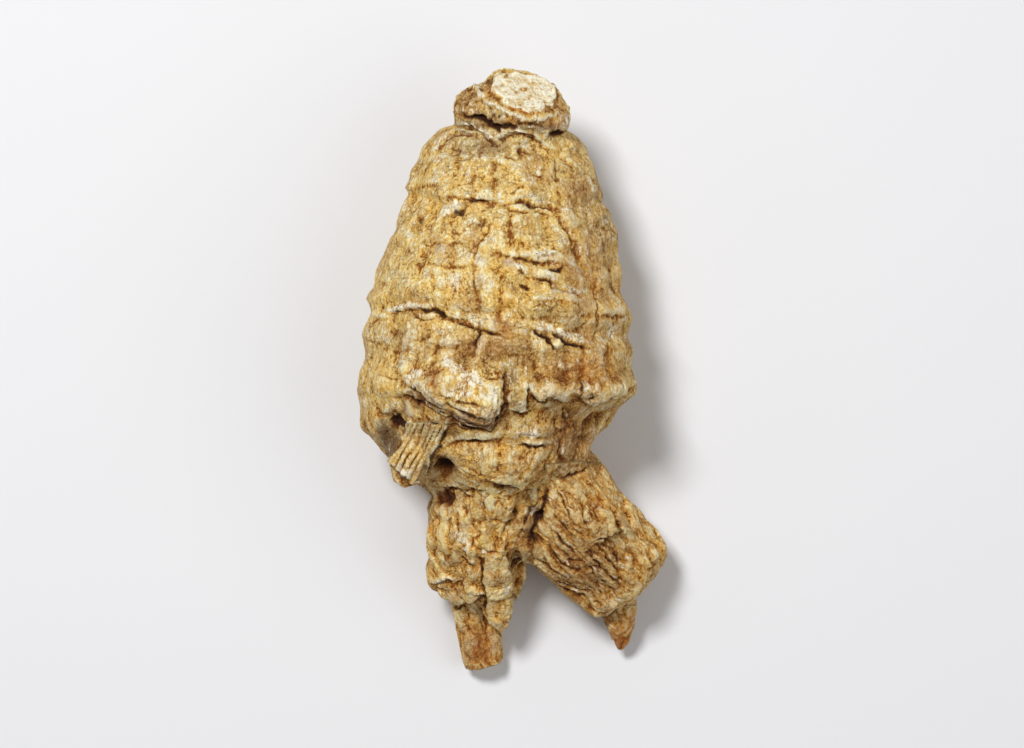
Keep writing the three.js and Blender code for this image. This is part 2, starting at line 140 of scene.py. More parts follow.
# Cracks: depth, half width, x and y of each point.
CRACKS = [
    # The shoulder under the neck.
    (0.3, 0.16, -4.9, 52.9, -3.9, 53, -3, 52.9), (0.25, 0.16, -6.9, 52.9, -6, 53.3, -5.2, 53.7),
    (0.35, 0.2, 2.3, 54.5, 2.3, 53, 2.4, 51.4),
    (0.25, 0.15, 0.2, 54, 1.2, 54.3, 2.2, 54.4, 3.1, 54.8, 4.3, 53.9, 5.6, 53.4),
    (0.45, 0.16, 0.7, 52.2, 1.4, 52.1, 2, 51.8), (0.3, 0.18, -1.5, 53.2, -1.7, 52.2, -1.5, 51.2),
    (0.35, 0.2, -2, 50.6, -2.1, 49.6, -1.8, 48.4), (0.35, 0.18, 1.1, 48.5, 2, 48.9, 2.5, 49.4),
    (0.35, 0.2, 6.2, 53.4, 6.1, 51, 6.3, 48.8, 6.7, 47.5),
    # The ring below the crown, in lengths.
    (0.25, 0.15, -6.4, 48.4, -5.4, 48.5, -4.5, 48.2, -3.9, 48.3),
    (0.6, 0.24, -3.3, 48.1, -2.5, 47.8, -1.7, 47.9, -0.6, 47.7),
    (0.5, 0.22, 1, 47.6, 2.1, 47.9, 3.3, 47.7, 4.2, 47.6, 5.2, 47.4, 6.1, 47),
    (0.4, 0.15, 1, 47.4, 2, 46.9, 3.5, 46.8), (0.35, 0.14, 3.6, 47.2, 4.4, 46.8, 5.4, 46.8),
    (0.45, 0.18, -5.1, 46, -4.2, 46.2, -3.4, 47, -2.6, 47.5), (0.4, 0.22, -7.9, 47.3, -8, 46.4, -7.5, 45.5),
    (0.35, 0.2, -9.7, 46.8, -9.2, 45.8, -9.4, 44.8),
    (0.35, 0.18, 6.6, 46.2, 7.2, 44.8, 8.2, 43.4, 8.6, 41.6),
    # The rings of the waist, which only the right side has.
    (0.5, 0.19, -0.8, 42.8, 0.3, 42.8, 1.2, 42.4, 2.5, 42, 4, 41.7, 5.2, 41.6, 6.6, 41.3),
    (0.3, 0.14, 3.4, 42.3, 4.6, 42.7, 6, 42.6), (0.8, 0.24, 5.2, 41.1, 5.9, 40.8, 6.4, 40.8, 7, 41.3),
    (0.6, 0.22, 2.3, 39.5, 3, 39.3, 3.6, 39.1), (0.75, 0.2, 4, 40, 4.7, 39.9, 5.4, 39.7, 5.9, 38.9),
    (0.35, 0.15, 6.4, 38.7, 7.6, 38.5, 9, 38.1), (0.3, 0.2, 3.3, 36.4, 3.8, 37, 4.6, 37.3, 6.4, 37),
    (0.25, 0.18, 7.4, 36.6, 8.6, 36.2, 9.5, 36.4),
    # The long ring across the belly, which crosses an upright furrow.
    (0.4, 0.16, -11, 36.6, -9.8, 36.8, -8.6, 36.7, -7.8, 36.9),
    (0.75, 0.28, -8.2, 36.9, -7.2, 36.9, -6.3, 36.9, -5.6, 36.5, -4.8, 36.1),
    (0.4, 0.16, -8.4, 36.4, -7.6, 35.8, -6.6, 35.8, -6, 36.3),
    (0.6, 0.2, -5.8, 36.4, -4.4, 35.8, -3.2, 35.5, -1.8, 35.1, -0.6, 34.7, 0.7, 34.2, 1.4, 33.9),
    (0.7, 0.24, -1.5, 36.2, -1.6, 35.3, -1.8, 34.6, -2.3, 33.6, -2.4, 32.4),
    (0.85, 0.24, 3.1, 35.2, 4.6, 34.4, 5.2, 34, 5.4, 33.4, 5.9, 32.7, 6.6, 32.4),
    (0.95, 0.3, 5.7, 34.5, 6.6, 33.9, 7.8, 33.4, 9.3, 33), (0.5, 0.2, 6.6, 32.9, 7.4, 33.3, 8.5, 33),
    (0.4, 0.2, 10.3, 40, 10.1, 38, 10.4, 36, 9.8, 33.6), (0.4, 0.18, 11.8, 42, 11.6, 40, 12.2, 38),
    (0.4, 0.18, -13.4, 33.4, -12.6, 33.6, -12, 33.9),
    # The boss of the withered side root and the tile beside it.
    (0.5, 0.16, -6.8, 30.3, -6, 30.2, -5.2, 30.6), (0.45, 0.2, -6.2, 30.2, -6, 29.6, -6.3, 29),
    (0.25, 0.15, -12.2, 30.2, -10.6, 29.9, -9.2, 30.2),
    (0.35, 0.16, -2.3, 32.4, -1.4, 31.8, -0.4, 31.2, 0.6, 31.3),
    (0.4, 0.16, -2.2, 30.3, -1.2, 30.1, 0, 29.8, 0.6, 30),
    (0.65, 0.22, -9.3, 29.4, -8, 28.7, -6.8, 28, -5.6, 27.4, -5.1, 26.5),
    (0.6, 0.2, -9.4, 28.3, -8.2, 27.8, -7, 27.2, -5.8, 26.4),
    (0.5, 0.17, -5.4, 28.9, -4.4, 28.3, -3.2, 27.9, -1.6, 27.5, -0.2, 27.3),
    (0.75, 0.24, -5, 27.9, -4.2, 27.4, -3, 26.9, -1.6, 26.6, -0.6, 26.3),
    (0.5, 0.17, -5.2, 27.1, -4, 26.5, -2.8, 26, -1.4, 25.7),
    (0.8, 0.26, -4.8, 26.3, -3.6, 25.6, -2.6, 25, -1.8, 24.7, -0.9, 24.4),
    (0.5, 0.17, -4.2, 25.4, -3.4, 24.9, -2.6, 24.5),
    (0.7, 0.22, 0.8, 29.8, 0.8, 28.2, 0.75, 27.2, 0.1, 26.4, -0.4, 25.6, -0.9, 24.7),
    (0.6, 0.22, 0.95, 31.1, 0.95, 29.6), (0.4, 0.18, 1, 26.6, 2, 26.4, 3, 26.2),
    (0.4, 0.18, 3.1, 30, 3.2, 28.2, 3.1, 26.4),
    # The broken skirt right of the boss.
    (0.6, 0.18, 3.3, 28.5, 3.9, 27.9, 4.2, 27.4, 4.9, 27.3, 5.3, 28, 5.9, 28.3),
    (0.5, 0.2, 6.2, 27.7, 7.2, 27.5, 8.2, 27.6, 8.6, 27.4), (0.7, 0.2, 8.4, 30.1, 8.6, 29.2, 8.5, 27.6),
    (0.6, 0.18, 9.5, 29.5, 9.4, 28.4, 9, 27.7), (0.6, 0.22, 9.8, 28.1, 11, 27.8, 12, 28),
    # The hole beside the broken side root, and the seams beside it and round the cuff. The hole and the seam
    # between the legs are painted dark as their shade.
    (1.5, 0.7, -10.9, 26, -10.2, 25.5, -9.5, 24.9), (0.5, 0.2, -12.4, 26.6, -11.6, 26, -11, 26.3),
    (0.5, 0.18, -8.6, 25.9, -7.4, 25.9, -6.2, 25.5, -5.2, 25.2),
    (0.6, 0.25, -4.5, 25.6, -5.2, 24.4, -5.6, 23.4, -6.5, 22, -7, 20.8, -7.7, 19.4),
    (0.5, 0.19, -5.4, 22.9, -4.6, 23.2, -3.2, 23.5, -1.6, 23.5, 0.2, 23.6),
    (0.65, 0.22, 2.1, 23.2, 3, 23, 3.9, 22.8, 5.4, 22.8),
    (0.5, 0.2, -6.4, 20.2, -5.6, 21.4, -4.8, 21.4, -4.2, 20.6),
    (0.6, 0.26, -6.5, 17.7, -5.6, 17.8, -5.1, 18.4, -4.2, 18.8, -3.2, 18.7, -1.8, 18.5),
    (0.4, 0.18, -1.6, 18.6, -0.6, 18.2, -1.2, 17.4, -1.6, 16),
    (0.5, 0.2, -1.1, 19.5, -0.3, 18.9, 0.6, 18.9, 1.2, 19.1, 2.2, 18.9, 3, 18.6),
    (0.4, 0.2, 5.9, 27.4, 6.2, 26.2, 6.1, 24.8, 6.6, 23.5, 6.6, 21.6, 5.6, 19.6),
    (0.4, 0.18, 6.9, 27, 6.8, 26, 7.4, 25), (0.4, 0.2, 8, 25.4, 8.4, 24.4, 8, 23.6),
    (0.8, 0.4, 5.5, 19.4, 4.9, 17.6, 4.2, 16, 3.8, 14.4, 3.5, 12.6),
    (0.5, 0.22, 5.6, 20, 6.8, 19.9, 7.8, 20.1, 9, 20.8, 9.9, 21.6),
    # The main leg.
    (0.35, 0.16, 0.6, 17.6, -0.1, 17, -0.6, 16.4), (0.55, 0.22, 4.6, 18, 3.4, 16.6, 2.7, 15, 2.4, 13.4),
    (0.55, 0.22, 2.4, 17.4, 2, 15.6, 1, 14.8, 0.7, 13.4), (0.35, 0.16, -4.4, 16.4, -4.9, 15.2),
    (0.35, 0.16, -2, 15.2, -2.1, 13.8), (0.55, 0.2, -4, 12.4, -3.3, 11.6, -2.7, 11.1, -1.9, 10.8),
    (0.35, 0.16, -3.2, 10.6, -3.1, 9.6, -3.6, 9),
    (0.5, 0.2, -2.1, 12.3, -1.6, 11.4, -1.3, 10.4, -1.3, 8.8, -0.9, 7.5),
    (0.35, 0.16, -1.5, 12, -0.5, 12.1, 0.6, 12, 1.3, 11.8),
    (0.6, 0.22, 1.6, 11.9, 2.2, 11.6, 2.7, 11.1, 2.4, 10.4), (0.4, 0.18, 1.5, 11.2, 1.2, 10.2, 1.4, 9),
    (0.45, 0.2, -6.5, 8.8, -5.7, 8.4, -4.6, 8.4), (0.3, 0.15, -4.6, 8.9, -3.2, 9.2),
    (0.6, 0.25, -5.6, 7.2, -4.8, 6.8, -4, 6.6, -3, 6.9, -2.3, 7.2, -1.5, 7.5),
    (0.6, 0.25, -1, 7.7, -1.1, 6.4, -0.8, 5.2), (0.3, 0.16, -3.3, 3.5, -2.9, 3, -2.3, 2.5),
    (0.3, 0.2, -1.6, 5.8, -1.5, 4.2, -1, 2.8),
    # The second leg: wrinkles along it, the fold at its root and the edge above the spur.
    (0.6, 0.18, 3.4, 11.1, 4.4, 10.6, 5.6, 9.3, 7, 8.4, 8.6, 7.7, 9.9, 6.7),
    (0.65, 0.2, 5.1, 13.1, 6, 11.8, 7.2, 10.8, 8.4, 10.2, 9.1, 10.7),
    (0.6, 0.18, 5.9, 19.3, 6.9, 17.4, 7.8, 15.6, 8.1, 14.9),
    (0.55, 0.16, 5, 17.2, 5.6, 16.2, 6.6, 15.3, 7.4, 14.2, 8.6, 13),
    (0.65, 0.18, 8.6, 13, 9.6, 12, 10.6, 10.7, 11.6, 9.8, 13.2, 8.3),
    (0.5, 0.16, 5, 15, 6.2, 14, 7.2, 12.6, 8.4, 11.6), (0.5, 0.16, 5, 9.6, 6.8, 9.2, 8.4, 8.4, 10, 8),
    (0.5, 0.15, 4.4, 12.4, 5.4, 11, 6.8, 9.8, 8.4, 9.2),
    (0.5, 0.15, 6.2, 12.6, 7.4, 11.6, 8.8, 11.2, 9.8, 10.2, 11, 8.6),
    (0.45, 0.15, 6.8, 18.6, 7.4, 17.2, 8.2, 16.2), (0.5, 0.15, 4.8, 18.4, 5.4, 16.8, 6.2, 15.9),
    (0.45, 0.15, 9.6, 11.4, 10.4, 10.2, 11.6, 8.6, 12.8, 7.9),
    (0.45, 0.15, 11.2, 12.6, 12.4, 11.6, 13.8, 11), (0.5, 0.16, 8.6, 17.6, 8.8, 16, 9.6, 14.6),
    (0.7, 0.2, 12, 15.8, 12.3, 15.2, 12.2, 14.6, 11.4, 13.8, 10.6, 13.7, 9.5, 12.9),
    (0.6, 0.18, 10.3, 13.2, 11.2, 11.8, 12, 11, 13.4, 10.1),
    (0.45, 0.15, 10.4, 9.4, 10.4, 8.4, 11.2, 7.4, 12.2, 7.2),
    (0.75, 0.22, 10.7, 5.8, 11.6, 6.2, 12.4, 6.9, 13.2, 7.3, 14, 7.8),
    (0.5, 0.18, 10.2, 17.4, 10, 16.4, 10.6, 15.4),
    # The gaps between the neck and the shoulder, painted dark as their shade.
    (1.5, 0.36, -3.8, 56.5, -2.7, 56.4, -1.6, 56.4, -0.9, 55.9, -0.3, 55.4, 0.3, 55.1, 1.3, 55.3,
     2.4, 55.6),
    (1.3, 0.35, 5.5, 54.7, 6.3, 54.6, 7.3, 54.9), (0.5, 0.18, 1.4, 55.9, 3, 55.8, 4.4, 55.5, 5.5, 54.9),
    (0.4, 0.13, -4.8, 54.8, -3.6, 55.3, -2.6, 55.2, -1.6, 54.9, -0.8, 54.3, -0.3, 53.7, 0.2, 53.6),
    (0.4, 0.13, 0.2, 53.6, 0.9, 54.1, 1.7, 54.5, 2.6, 54.6, 3.5, 54.3, 4.5, 53.7, 5.4, 53.1),
    (0.3, 0.12, -5.9, 53.3, -5, 54.1, -4.2, 54.5, -3.3, 54.6, -2.4, 54.4, -1.5, 54.1, -0.9, 53.6),
]

# Ledges, where the skin rises to an edge and drops off below it: drop, how far the rise reaches, how much
# paler the edge is, x and y of each point. Under each edge lies a dark line of painted shadow, and the
# paler edge is partly light-coloured bark and partly painted highlight.
LEDGES = [
    (0.16, 0.8, 0.4, -6.6, 48.3, -5, 48.5, -3.4, 48.3, -1.6, 48.1, 0.8, 47.9, 2.4, 48.1, 4.2, 47.9,
     6.2, 47.3),
    (0.25, 0.4, 1, 1.1, 47.5, 2.2, 47.2, 3.4, 47), (0.2, 0.4, 0.8, 3.7, 47.2, 4.5, 47.1, 5.3, 46.9),
    (0.2, 0.5, 1, -7.4, 51.7, -6.2, 52.1, -5, 52.1), (0.2, 0.8, 0.5, -8.4, 49.4, -6.8, 50, -5.4, 49.8),
    (0.15, 0.7, 0.5, -0.8, 52, 0.6, 51.6, 2, 51.4),
    (0.3, 0.5, 1.2, 3.6, 42.1, 4.6, 42.4, 5.7, 42.4, 6.7, 42),
    (0.25, 0.9, 0.5, 0, 42.9, 1.6, 42.3, 3.9, 41.8, 6.6, 41.5),
    (0.25, 0.6, 0.9, 3.8, 40.3, 5, 40.1, 6, 39.8), (0.25, 0.5, 1.2, 6.2, 39.2, 7.5, 38.9, 8.9, 38.3),
    (0.2, 0.9, 0.5, 3.6, 37.9, 6, 38, 9, 37.2),
    (0.25, 1.5, 0.3, -5.6, 36.4, -3.1, 35.8, -0.3, 34.8, 1, 34.2),
    (0.2, 0.5, 0.7, -13, 36.2, -11.8, 35.9, -10.6, 36.1),
    (0.15, 0.7, 0.5, -6.6, 33.6, -5.2, 33.2, -3.6, 33.5), (0.2, 0.9, 0.5, 5.8, 31.4, 7.4, 31, 9, 31.3),
    (0.3, 1, 0.7, 10.2, 36.6, 11.8, 36.2, 13, 36.6), (0.3, 0.4, 1.3, 2.6, 23.2, 3.6, 23.2, 5, 23.1),
    (0.2, 0.6, 0.9, 2.2, 24.2, 3.6, 24.2, 4.8, 24),
    (0.25, 0.7, 0.5, -5.2, 23.2, -3.6, 23.7, -1.5, 23.8, 0.4, 23.9),
    (0.6, 1.2, 0.5, 3.3, 28.6, 4.3, 27.9, 5.4, 28.2, 6.4, 27.8, 8.2, 27.6),
    (0.7, 1.2, 0.6, 8.6, 27.8, 9.2, 27.3, 10.3, 28, 12, 28.1, 13.9, 29),
    (0.35, 0.8, 0.4, -5, 18.9, -3.2, 18.9, -1, 18.7),
    (0.3, 0.8, 0.5, -1, 19.6, 0.2, 19.2, 1, 19.3, 3.4, 18.9),
    (0.4, 0.4, 1.4, -6.9, 9.2, -5.6, 9.5, -4, 9.1), (0.35, 0.4, 1.4, -2.5, 8.3, -1.9, 8.2, -1.4, 8),
    (0.45, 0.8, 0.6, -6.2, 7.5, -4.6, 7, -2.9, 7.3, -1.5, 7.9),
    (0.25, 0.5, 0.8, -1.5, 12.3, 0, 12.4, 1.3, 12.1),
    (0.4, 1.2, 0.3, 12.4, 15.8, 12.4, 14.7, 11.3, 13.7, 9.6, 12.7),
    (0.35, 0.8, 0.5, 10.7, 6, 12.5, 7.1, 13.9, 8, 15.9, 9.5),
    (0.3, 0.3, 1.2, 11.2, 3.7, 11.6, 3.5, 12, 3.6),
    (0.3, 0.25, 2.4, -4.8, 55.2, -3.6, 55.65, -2.6, 55.6, -1.6, 55.3, -0.8, 54.7, -0.3, 54.1, 0.2, 54,
     0.8, 54.5, 1.6, 54.9, 2.6, 55, 3.4, 54.7, 4.4, 54.1, 5.4, 53.5, 6.2, 53.1),
    (0.25, 0.25, 1.8, -6, 53.7, -5.2, 54.4, -4.4, 54.9, -3.4, 55, -2.4, 54.8, -1.4, 54.6, -0.8, 54),
    (0.3, 0.3, 2.4, -0.9, 57.9, 0.3, 57.3, 1.1, 56.6, 2.2, 56.2, 3.4, 56, 4.7, 56.1, 6, 56.6),
    (0.2, 0.3, 1.2, 2, 55.6, 3.4, 55.3, 4.6, 54.9, 5.4, 54.4),
]

# Thin flakes of dead bark that stand off: rise, half width, x and y of each point. Under each lies a dark
# line of painted shadow.
FLAKES = [
    (0.45, 0.55, -5.2, 46.5, -4.5, 47.2, -3.3, 47.9),
    (0.45, 0.34, -11.2, 36.9, -10.2, 37.1, -9.2, 37.2, -8, 37.2, -6.4, 37.3),
    (0.4, 0.42, 3, 35.7, 4.2, 35.3, 6, 34.8, 7.6, 34.2, 9.5, 33.5),
    (0.2, 0.25, 1.8, 41.4, 2.9, 41.1, 3.6, 40.7),
    (0.35, 0.24, -2.2, 60.1, -2.1, 59.5, -1.6, 58.7, -0.9, 57.9, 0.2, 57.3),
    (0.2, 0.26, -10.2, 21.5, -9.6, 20.4, -8.8, 19.5), (0.4, 0.4, -13, 24.2, -12.5, 23),
    (0.3, 0.26, 8.9, 29.6, 9, 28),
]

# Soft upright furrows: depth, half width, x and y of each point.
FURROWS = [
    (0.35, 0.22, 0.1, 46.5, -0.9, 45, -1.7, 43.8, -2.2, 41.8, -2.3, 39.8, -1.9, 38, -1.5, 35.4),
    (0.3, 0.5, -4.2, 46, -4.4, 43, -5, 40.4),
    (0.4, 0.45, 6, 47.7, 6.4, 46.4, 7.4, 44.9, 8.4, 42.6, 9.6, 39),
    (0.25, 0.4, 1.4, 46.8, 1.8, 44.6, 1.2, 43), (0.22, 0.4, 0.2, 42, 0.6, 39, 0.2, 36.4, 1, 34.4),
    (0.25, 0.5, -7.4, 43.4, -7.8, 40.6, -7.4, 38.4),
    (0.22, 0.25, -10, 43.9, -7, 43.6, -4.4, 43.6, -2, 43.4),
    (0.18, 0.25, -10.6, 41.2, -8, 41.6, -5, 41.4, -2.4, 41.2),
    (0.3, 0.4, -5.6, 35.4, -5.9, 33.4, -6.4, 31.6), (0.3, 0.5, -9.8, 35.4, -9.9, 32.8, -10.4, 30.4),
    (0.25, 0.3, -3.6, 34.6, -3.9, 33, -4.2, 31.9), (0.25, 0.4, 4, 32.8, 3.8, 31, 4.2, 29.2),
    (0.25, 0.35, 8.9, 32.8, 8.6, 30.6, 8.9, 28.8), (0.25, 0.35, 11.6, 35, 11.3, 32, 11.7, 29.4),
    (0.25, 0.4, -6.6, 52, -5.4, 54), (0.3, 0.35, -3.8, 53.2, -3.9, 50.8, -4.4, 48.8),
    (0.35, 0.4, -7, 51.6, -8, 49, -8.9, 46.4), (0.3, 0.35, -0.2, 52.6, -0.4, 50.2, -0.2, 48.2),
]

# Round lumps (above 0) and pits (below 0): x, y, reach, height. Pits deeper than 0.5 are painted dark as
# their shade.
KNOBS = [
    (-8.8, 44.4, 1.1, 0.5), (-1.5, 45.8, 0.4, -0.4), (1.3, 41.6, 0.8, 0.35), (-6.8, 36.3, 0.6, 0.4),
    (6.1, 33.4, 0.5, 0.45), (-12.6, 23, 0.8, 0.6), (-9, 26.6, 0.7, 0.3), (-5.4, 20.7, 0.9, -1.2),
    (-5.4, 17.6, 0.7, -1), (5, 25.9, 1.2, -0.5), (7.4, 25.4, 1.4, -0.5), (9.6, 25.6, 1.3, -0.5),
    (1.7, 18.8, 0.45, 0.4), (2.5, 19, 0.4, 0.4), (2, 11.2, 0.5, -0.6), (3.7, 13.4, 0.8, -0.8),
    (4.3, 15.8, 0.7, -0.7), (3, 11.9, 0.5, 0.5), (-3.4, 13.7, 0.5, 0.35), (-2.6, 12.4, 0.45, 0.35),
    (-1.1, 60.2, 0.8, -0.5), (7, 55.9, 0.7, 0.3), (9.2, 28.9, 0.5, 0.3),
]

# Soft-edged patches: x, y, reach across, reach along, share.
PALE_PATCHES = [
    (-4.9, 46.8, 0.45, 0.6, 1.4), (-4.2, 47.4, 0.7, 0.45, 1.4), (-6.2, 52, 1, 0.3, 0.8),
    (-2.8, 50.4, 0.35, 0.7, 0.8), (4.3, 51.2, 0.3, 0.9, 0.8), (-5.3, 50.6, 0.6, 0.6, 0.6),
    (7.2, 47, 0.5, 0.4, 0.9), (-9.3, 47.4, 0.5, 0.6, 0.9), (-4.2, 39.9, 0.5, 1.1, 1.2),
    (2.3, 41.4, 0.4, 0.4, 0.9), (4.9, 42.4, 1.3, 0.4, 1.4), (7.8, 38.7, 1.1, 0.3, 0.9),
    (-0.4, 44.4, 0.5, 0.8, 0.5), (11.6, 34.7, 0.5, 0.9, 0.9), (13, 35.9, 0.4, 0.4, 0.9),
    (-13.3, 34.8, 0.5, 0.8, 0.7), (-5.6, 34.6, 0.5, 0.5, 0.7), (-8.9, 29.9, 0.5, 0.4, 1.3),
    (-8.2, 30.3, 0.7, 0.5, 1.4), (-5.2, 31.7, 0.5, 0.4, 1.3), (-4.6, 31.2, 0.6, 0.5, 1.5),
    (-4, 30.7, 0.6, 0.5, 1.5), (-3.3, 30.2, 0.6, 0.4, 1.5), (-2.6, 29.9, 0.6, 0.4, 1.5),
    (-1.8, 29.5, 0.5, 0.35, 1.5), (-3.6, 29, 0.5, 0.7, 1.2), (-2.6, 28.4, 0.9, 0.3, 0.9),
    (-0.9, 28.3, 1.1, 0.4, 0.8), (-8, 33.2, 0.5, 0.5, 0.7), (3.4, 24.2, 0.9, 0.35, 1.4),
    (4.1, 23.2, 1, 0.22, 1.4), (3.6, 21.7, 0.7, 0.3, 0.7), (-3.7, 14.1, 0.4, 0.4, 1.4),
    (-3.5, 13.6, 0.6, 0.3, 1.4), (-2.8, 12.8, 0.4, 0.5, 0.9), (-4.1, 12.9, 0.3, 0.3, 0.8),
    (-1.3, 12.2, 0.3, 0.3, 0.9), (-5.6, 9.4, 1.1, 0.25, 1.4), (-2, 8.2, 0.5, 0.25, 1),
    (0.6, 8.6, 0.5, 0.6, 0.6), (1.6, 18.8, 0.35, 0.35, 1), (3, 12.1, 0.35, 0.3, 0.8),
    (-9.4, 20.6, 0.8, 0.9, 0.8), (-12.7, 23.6, 0.6, 0.7, 1.4), (8.95, 28.8, 0.3, 0.8, 1),
    (4.6, 27.8, 0.3, 0.25, 0.8), (7, 56, 0.4, 0.5, 1), (6.5, 56.8, 0.3, 0.3, 0.9),
    (-2.1, 57.1, 0.6, 0.3, 0.7),
]
ORANGE_PATCHES = [
    (-6.1, 29.8, 0.4, 0.6, 1), (-5.6, 30.6, 0.8, 0.2, 0.7), (1.5, 41.6, 0.8, 0.6, 0.6),
    (12.8, 2.8, 1.8, 2.2, 1), (11.9, 3.2, 0.5, 0.5, 0.9), (13.6, 4.6, 0.5, 1.6, 0.8),
    (0.2, 23.6, 1.6, 0.35, 0.6), (-0.5, 12.1, 0.6, 0.2, 1), (0.3, 4.6, 0.9, 0.3, 0.6),
    (-0.6, 59.1, 0.3, 0.4, 0.9), (1.5, 57.3, 0.4, 0.4, 1), (2.8, 56.8, 0.8, 0.18, 1),
    (4.3, 57.1, 0.6, 0.18, 0.9), (5.6, 55.6, 0.8, 0.6, 0.6), (10.3, 17.3, 0.4, 0.8, 0.9),
    (8.2, 49, 1.6, 1.8, 0.35), (-9.4, 26.6, 0.35, 0.25, 1), (9.6, 40, 3, 7, 0.35), (12.6, 3.4, 2, 3, 0.7),
    (-1.6, 2.6, 1.8, 3.2, 0.6), (0.6, 34.8, 1.6, 1.4, 0.4), (-1.6, 41, 0.5, 3, 0.15),
    (9.6, 31.4, 3.2, 2.4, 0.35), (-0.6, 25.4, 0.9, 0.5, 0.7),
]
# Greyer skin, on the broken facet and in patches: partly weathered grey skin and partly painted shade under
# the lips below the neck, in the gaps round the neck, in the lower belly and in the pits.
GREY_AND_SHADE_PATCHES = [
    (-1.2, 53.4, 3.6, 1.1, 0.9), (3.4, 55.5, 2.6, 0.4, 1), (-2.6, 55.9, 2.4, 0.35, 1),
    (-1.1, 60.2, 0.6, 0.8, 1), (-0.1, 56.5, 1.1, 0.7, 1), (8.2, 48.8, 1.6, 2.6, 0.6),
    (11.2, 44.6, 1.2, 2, 0.6), (-1.4, 45.8, 0.6, 0.5, 0.7), (-1.4, 32.8, 3.4, 1.6, 0.7),
    (1.5, 30.2, 0.8, 1, 0.9), (2.2, 28, 0.8, 1.4, 0.4), (-8.6, 34.6, 2, 1.2, 0.4), (6.2, 34.6, 3, 0.4, 0.7),
    (5.9, 39, 0.35, 0.35, 1), (5, 36.4, 3.4, 1, 0.3), (-5, 20.9, 0.9, 0.6, 0.9), (-7, 18, 1, 1.2, 0.9),
    (2.2, 11.3, 0.5, 0.5, 0.9), (8.8, 10.8, 2.2, 2.2, 0.3), (-3, 58.2, 1.5, 1.6, 0.7),
    (-8.4, 24.6, 0.8, 1, 0.4), (-7.4, 23.2, 1.6, 1.6, 0.3),
]
# Browner skin: partly the skin's own browner tone, and partly painted shade in the recess right of the boss,
# under the boss, in the pits, in the gaps round the neck, between the legs and on the shaded second leg.
BROWN_AND_SHADE_PATCHES = [
    (7.4, 30.4, 4.8, 2.4, 0.85), (-1.6, 32.9, 4.2, 1.5, 0.85), (-3, 26.4, 3.4, 1.1, 0.9),
    (-7.4, 27.9, 2.2, 0.9, 0.9), (-9, 33.6, 3.4, 2.6, 0.25), (7.6, 24, 3.2, 4.2, 1), (7.4, 15, 4, 3.6, 0.8),
    (8.6, 11.6, 5.4, 4.4, 0.95), (-1.9, 2.6, 1.8, 3, 0.7), (12, 38, 1.6, 6, 0.1),
    (-5.5, 20.4, 1.5, 1.5, 0.9), (-5.4, 17.4, 1.5, 1.2, 0.9), (2.4, 13, 1.2, 4, 0.7),
    (-1.2, 4, 0.8, 2.6, 0.5), (-3, 58.6, 1.5, 1.5, 0.6), (6.2, 57.6, 0.9, 1.6, 0.7),
    (1, 55.9, 2.8, 0.5, 0.7), (-3, 57, 1.6, 0.7, 0.8), (-1, 59.4, 0.6, 1.4, 0.7),
]
PAINTED_SHADE_PATCHES = [  # painted shade in the recesses, gaps and pits, under the boss and round the neck, between the legs and on the shaded second leg
    (-11, 23.9, 1.4, 1.8, 1), (-2.6, 25.8, 2.8, 0.8, 1), (-7, 27.6, 2.2, 0.7, 1),
    (0.9, 28.6, 0.3, 2.4, 0.8), (2, 11.6, 0.9, 0.9, 0.7), (-4.4, 24.4, 1, 1, 0.5),
    (7.4, 23.6, 2.6, 3.6, 0.35), (11, 27, 2.4, 1, 0.4), (-5.4, 20.6, 1.3, 1.3, 0.8),
    (-6, 17.8, 1.6, 1, 0.8), (3.4, 14.4, 0.9, 3.4, 0.7), (-1.6, 55.6, 2.6, 0.5, 0.9),
    (3.4, 55.4, 2.6, 0.4, 0.8), (6.4, 54.8, 1, 0.5, 0.7), (6.4, 8.6, 3.4, 2, 0.35), (10, 10.4, 4.6, 4, 0.3),
]
SPECKLED_PATCHES = [  # crumbly, with dark specks
    (-3, 58.2, 1.2, 1.4, 0.9), (0, 56.5, 1.3, 0.7, 1), (5.8, 55.8, 1, 0.8, 0.8), (6.5, 57, 0.4, 0.5, 1),
    (-1, 60.2, 0.7, 0.8, 0.8), (4.6, 27.9, 1.3, 0.6, 1), (9.4, 28.6, 0.9, 1.2, 0.8),
    (6.4, 24.4, 0.6, 1.2, 1), (8.6, 22.4, 1.6, 1.2, 0.7), (11, 45, 1.2, 1.8, 0.8),
    (8, 48.4, 1.5, 1.8, 0.45), (-8.2, 46.4, 1, 1.6, 0.7), (-1.6, 48.8, 0.6, 1.4, 0.6),
    (1.8, 48.8, 0.8, 0.8, 0.6), (5.9, 41.2, 0.8, 0.5, 0.8), (-6.6, 36.6, 1, 0.5, 0.8),
    (-5.2, 20.8, 1, 0.9, 0.8), (-6.6, 18.2, 1.2, 1, 0.8), (-2.4, 12.4, 0.7, 0.5, 0.9),
    (2.3, 11.4, 0.6, 0.6, 1), (8.4, 10.6, 2, 1.8, 0.4),
]


# ---- noise ----


def scattered(cells, seed):
    """Three even random numbers from 0 to 1 for each cell, a row of three whole numbers."""
    x, y, z = (cells[:, axis].astype(np.uint32) for axis in range(3))
    key = x * np.uint32(73856093) ^ y * np.uint32(19349663) ^ z * np.uint32(83492791)
    key = key ^ np.uint32(seed * 2654435761 % 2**32)
    numbers = []
    for _ in range(3):
        key = (key ^ (key >> np.uint32(16))) * np.uint32(2246822519)
        key = (key ^ (key >> np.uint32(13))) * np.uint32(3266489917)
        key = key ^ (key >> np.uint32(16))
        numbers.append(key / 2.0**32)
    return np.stack(numbers, axis=-1)


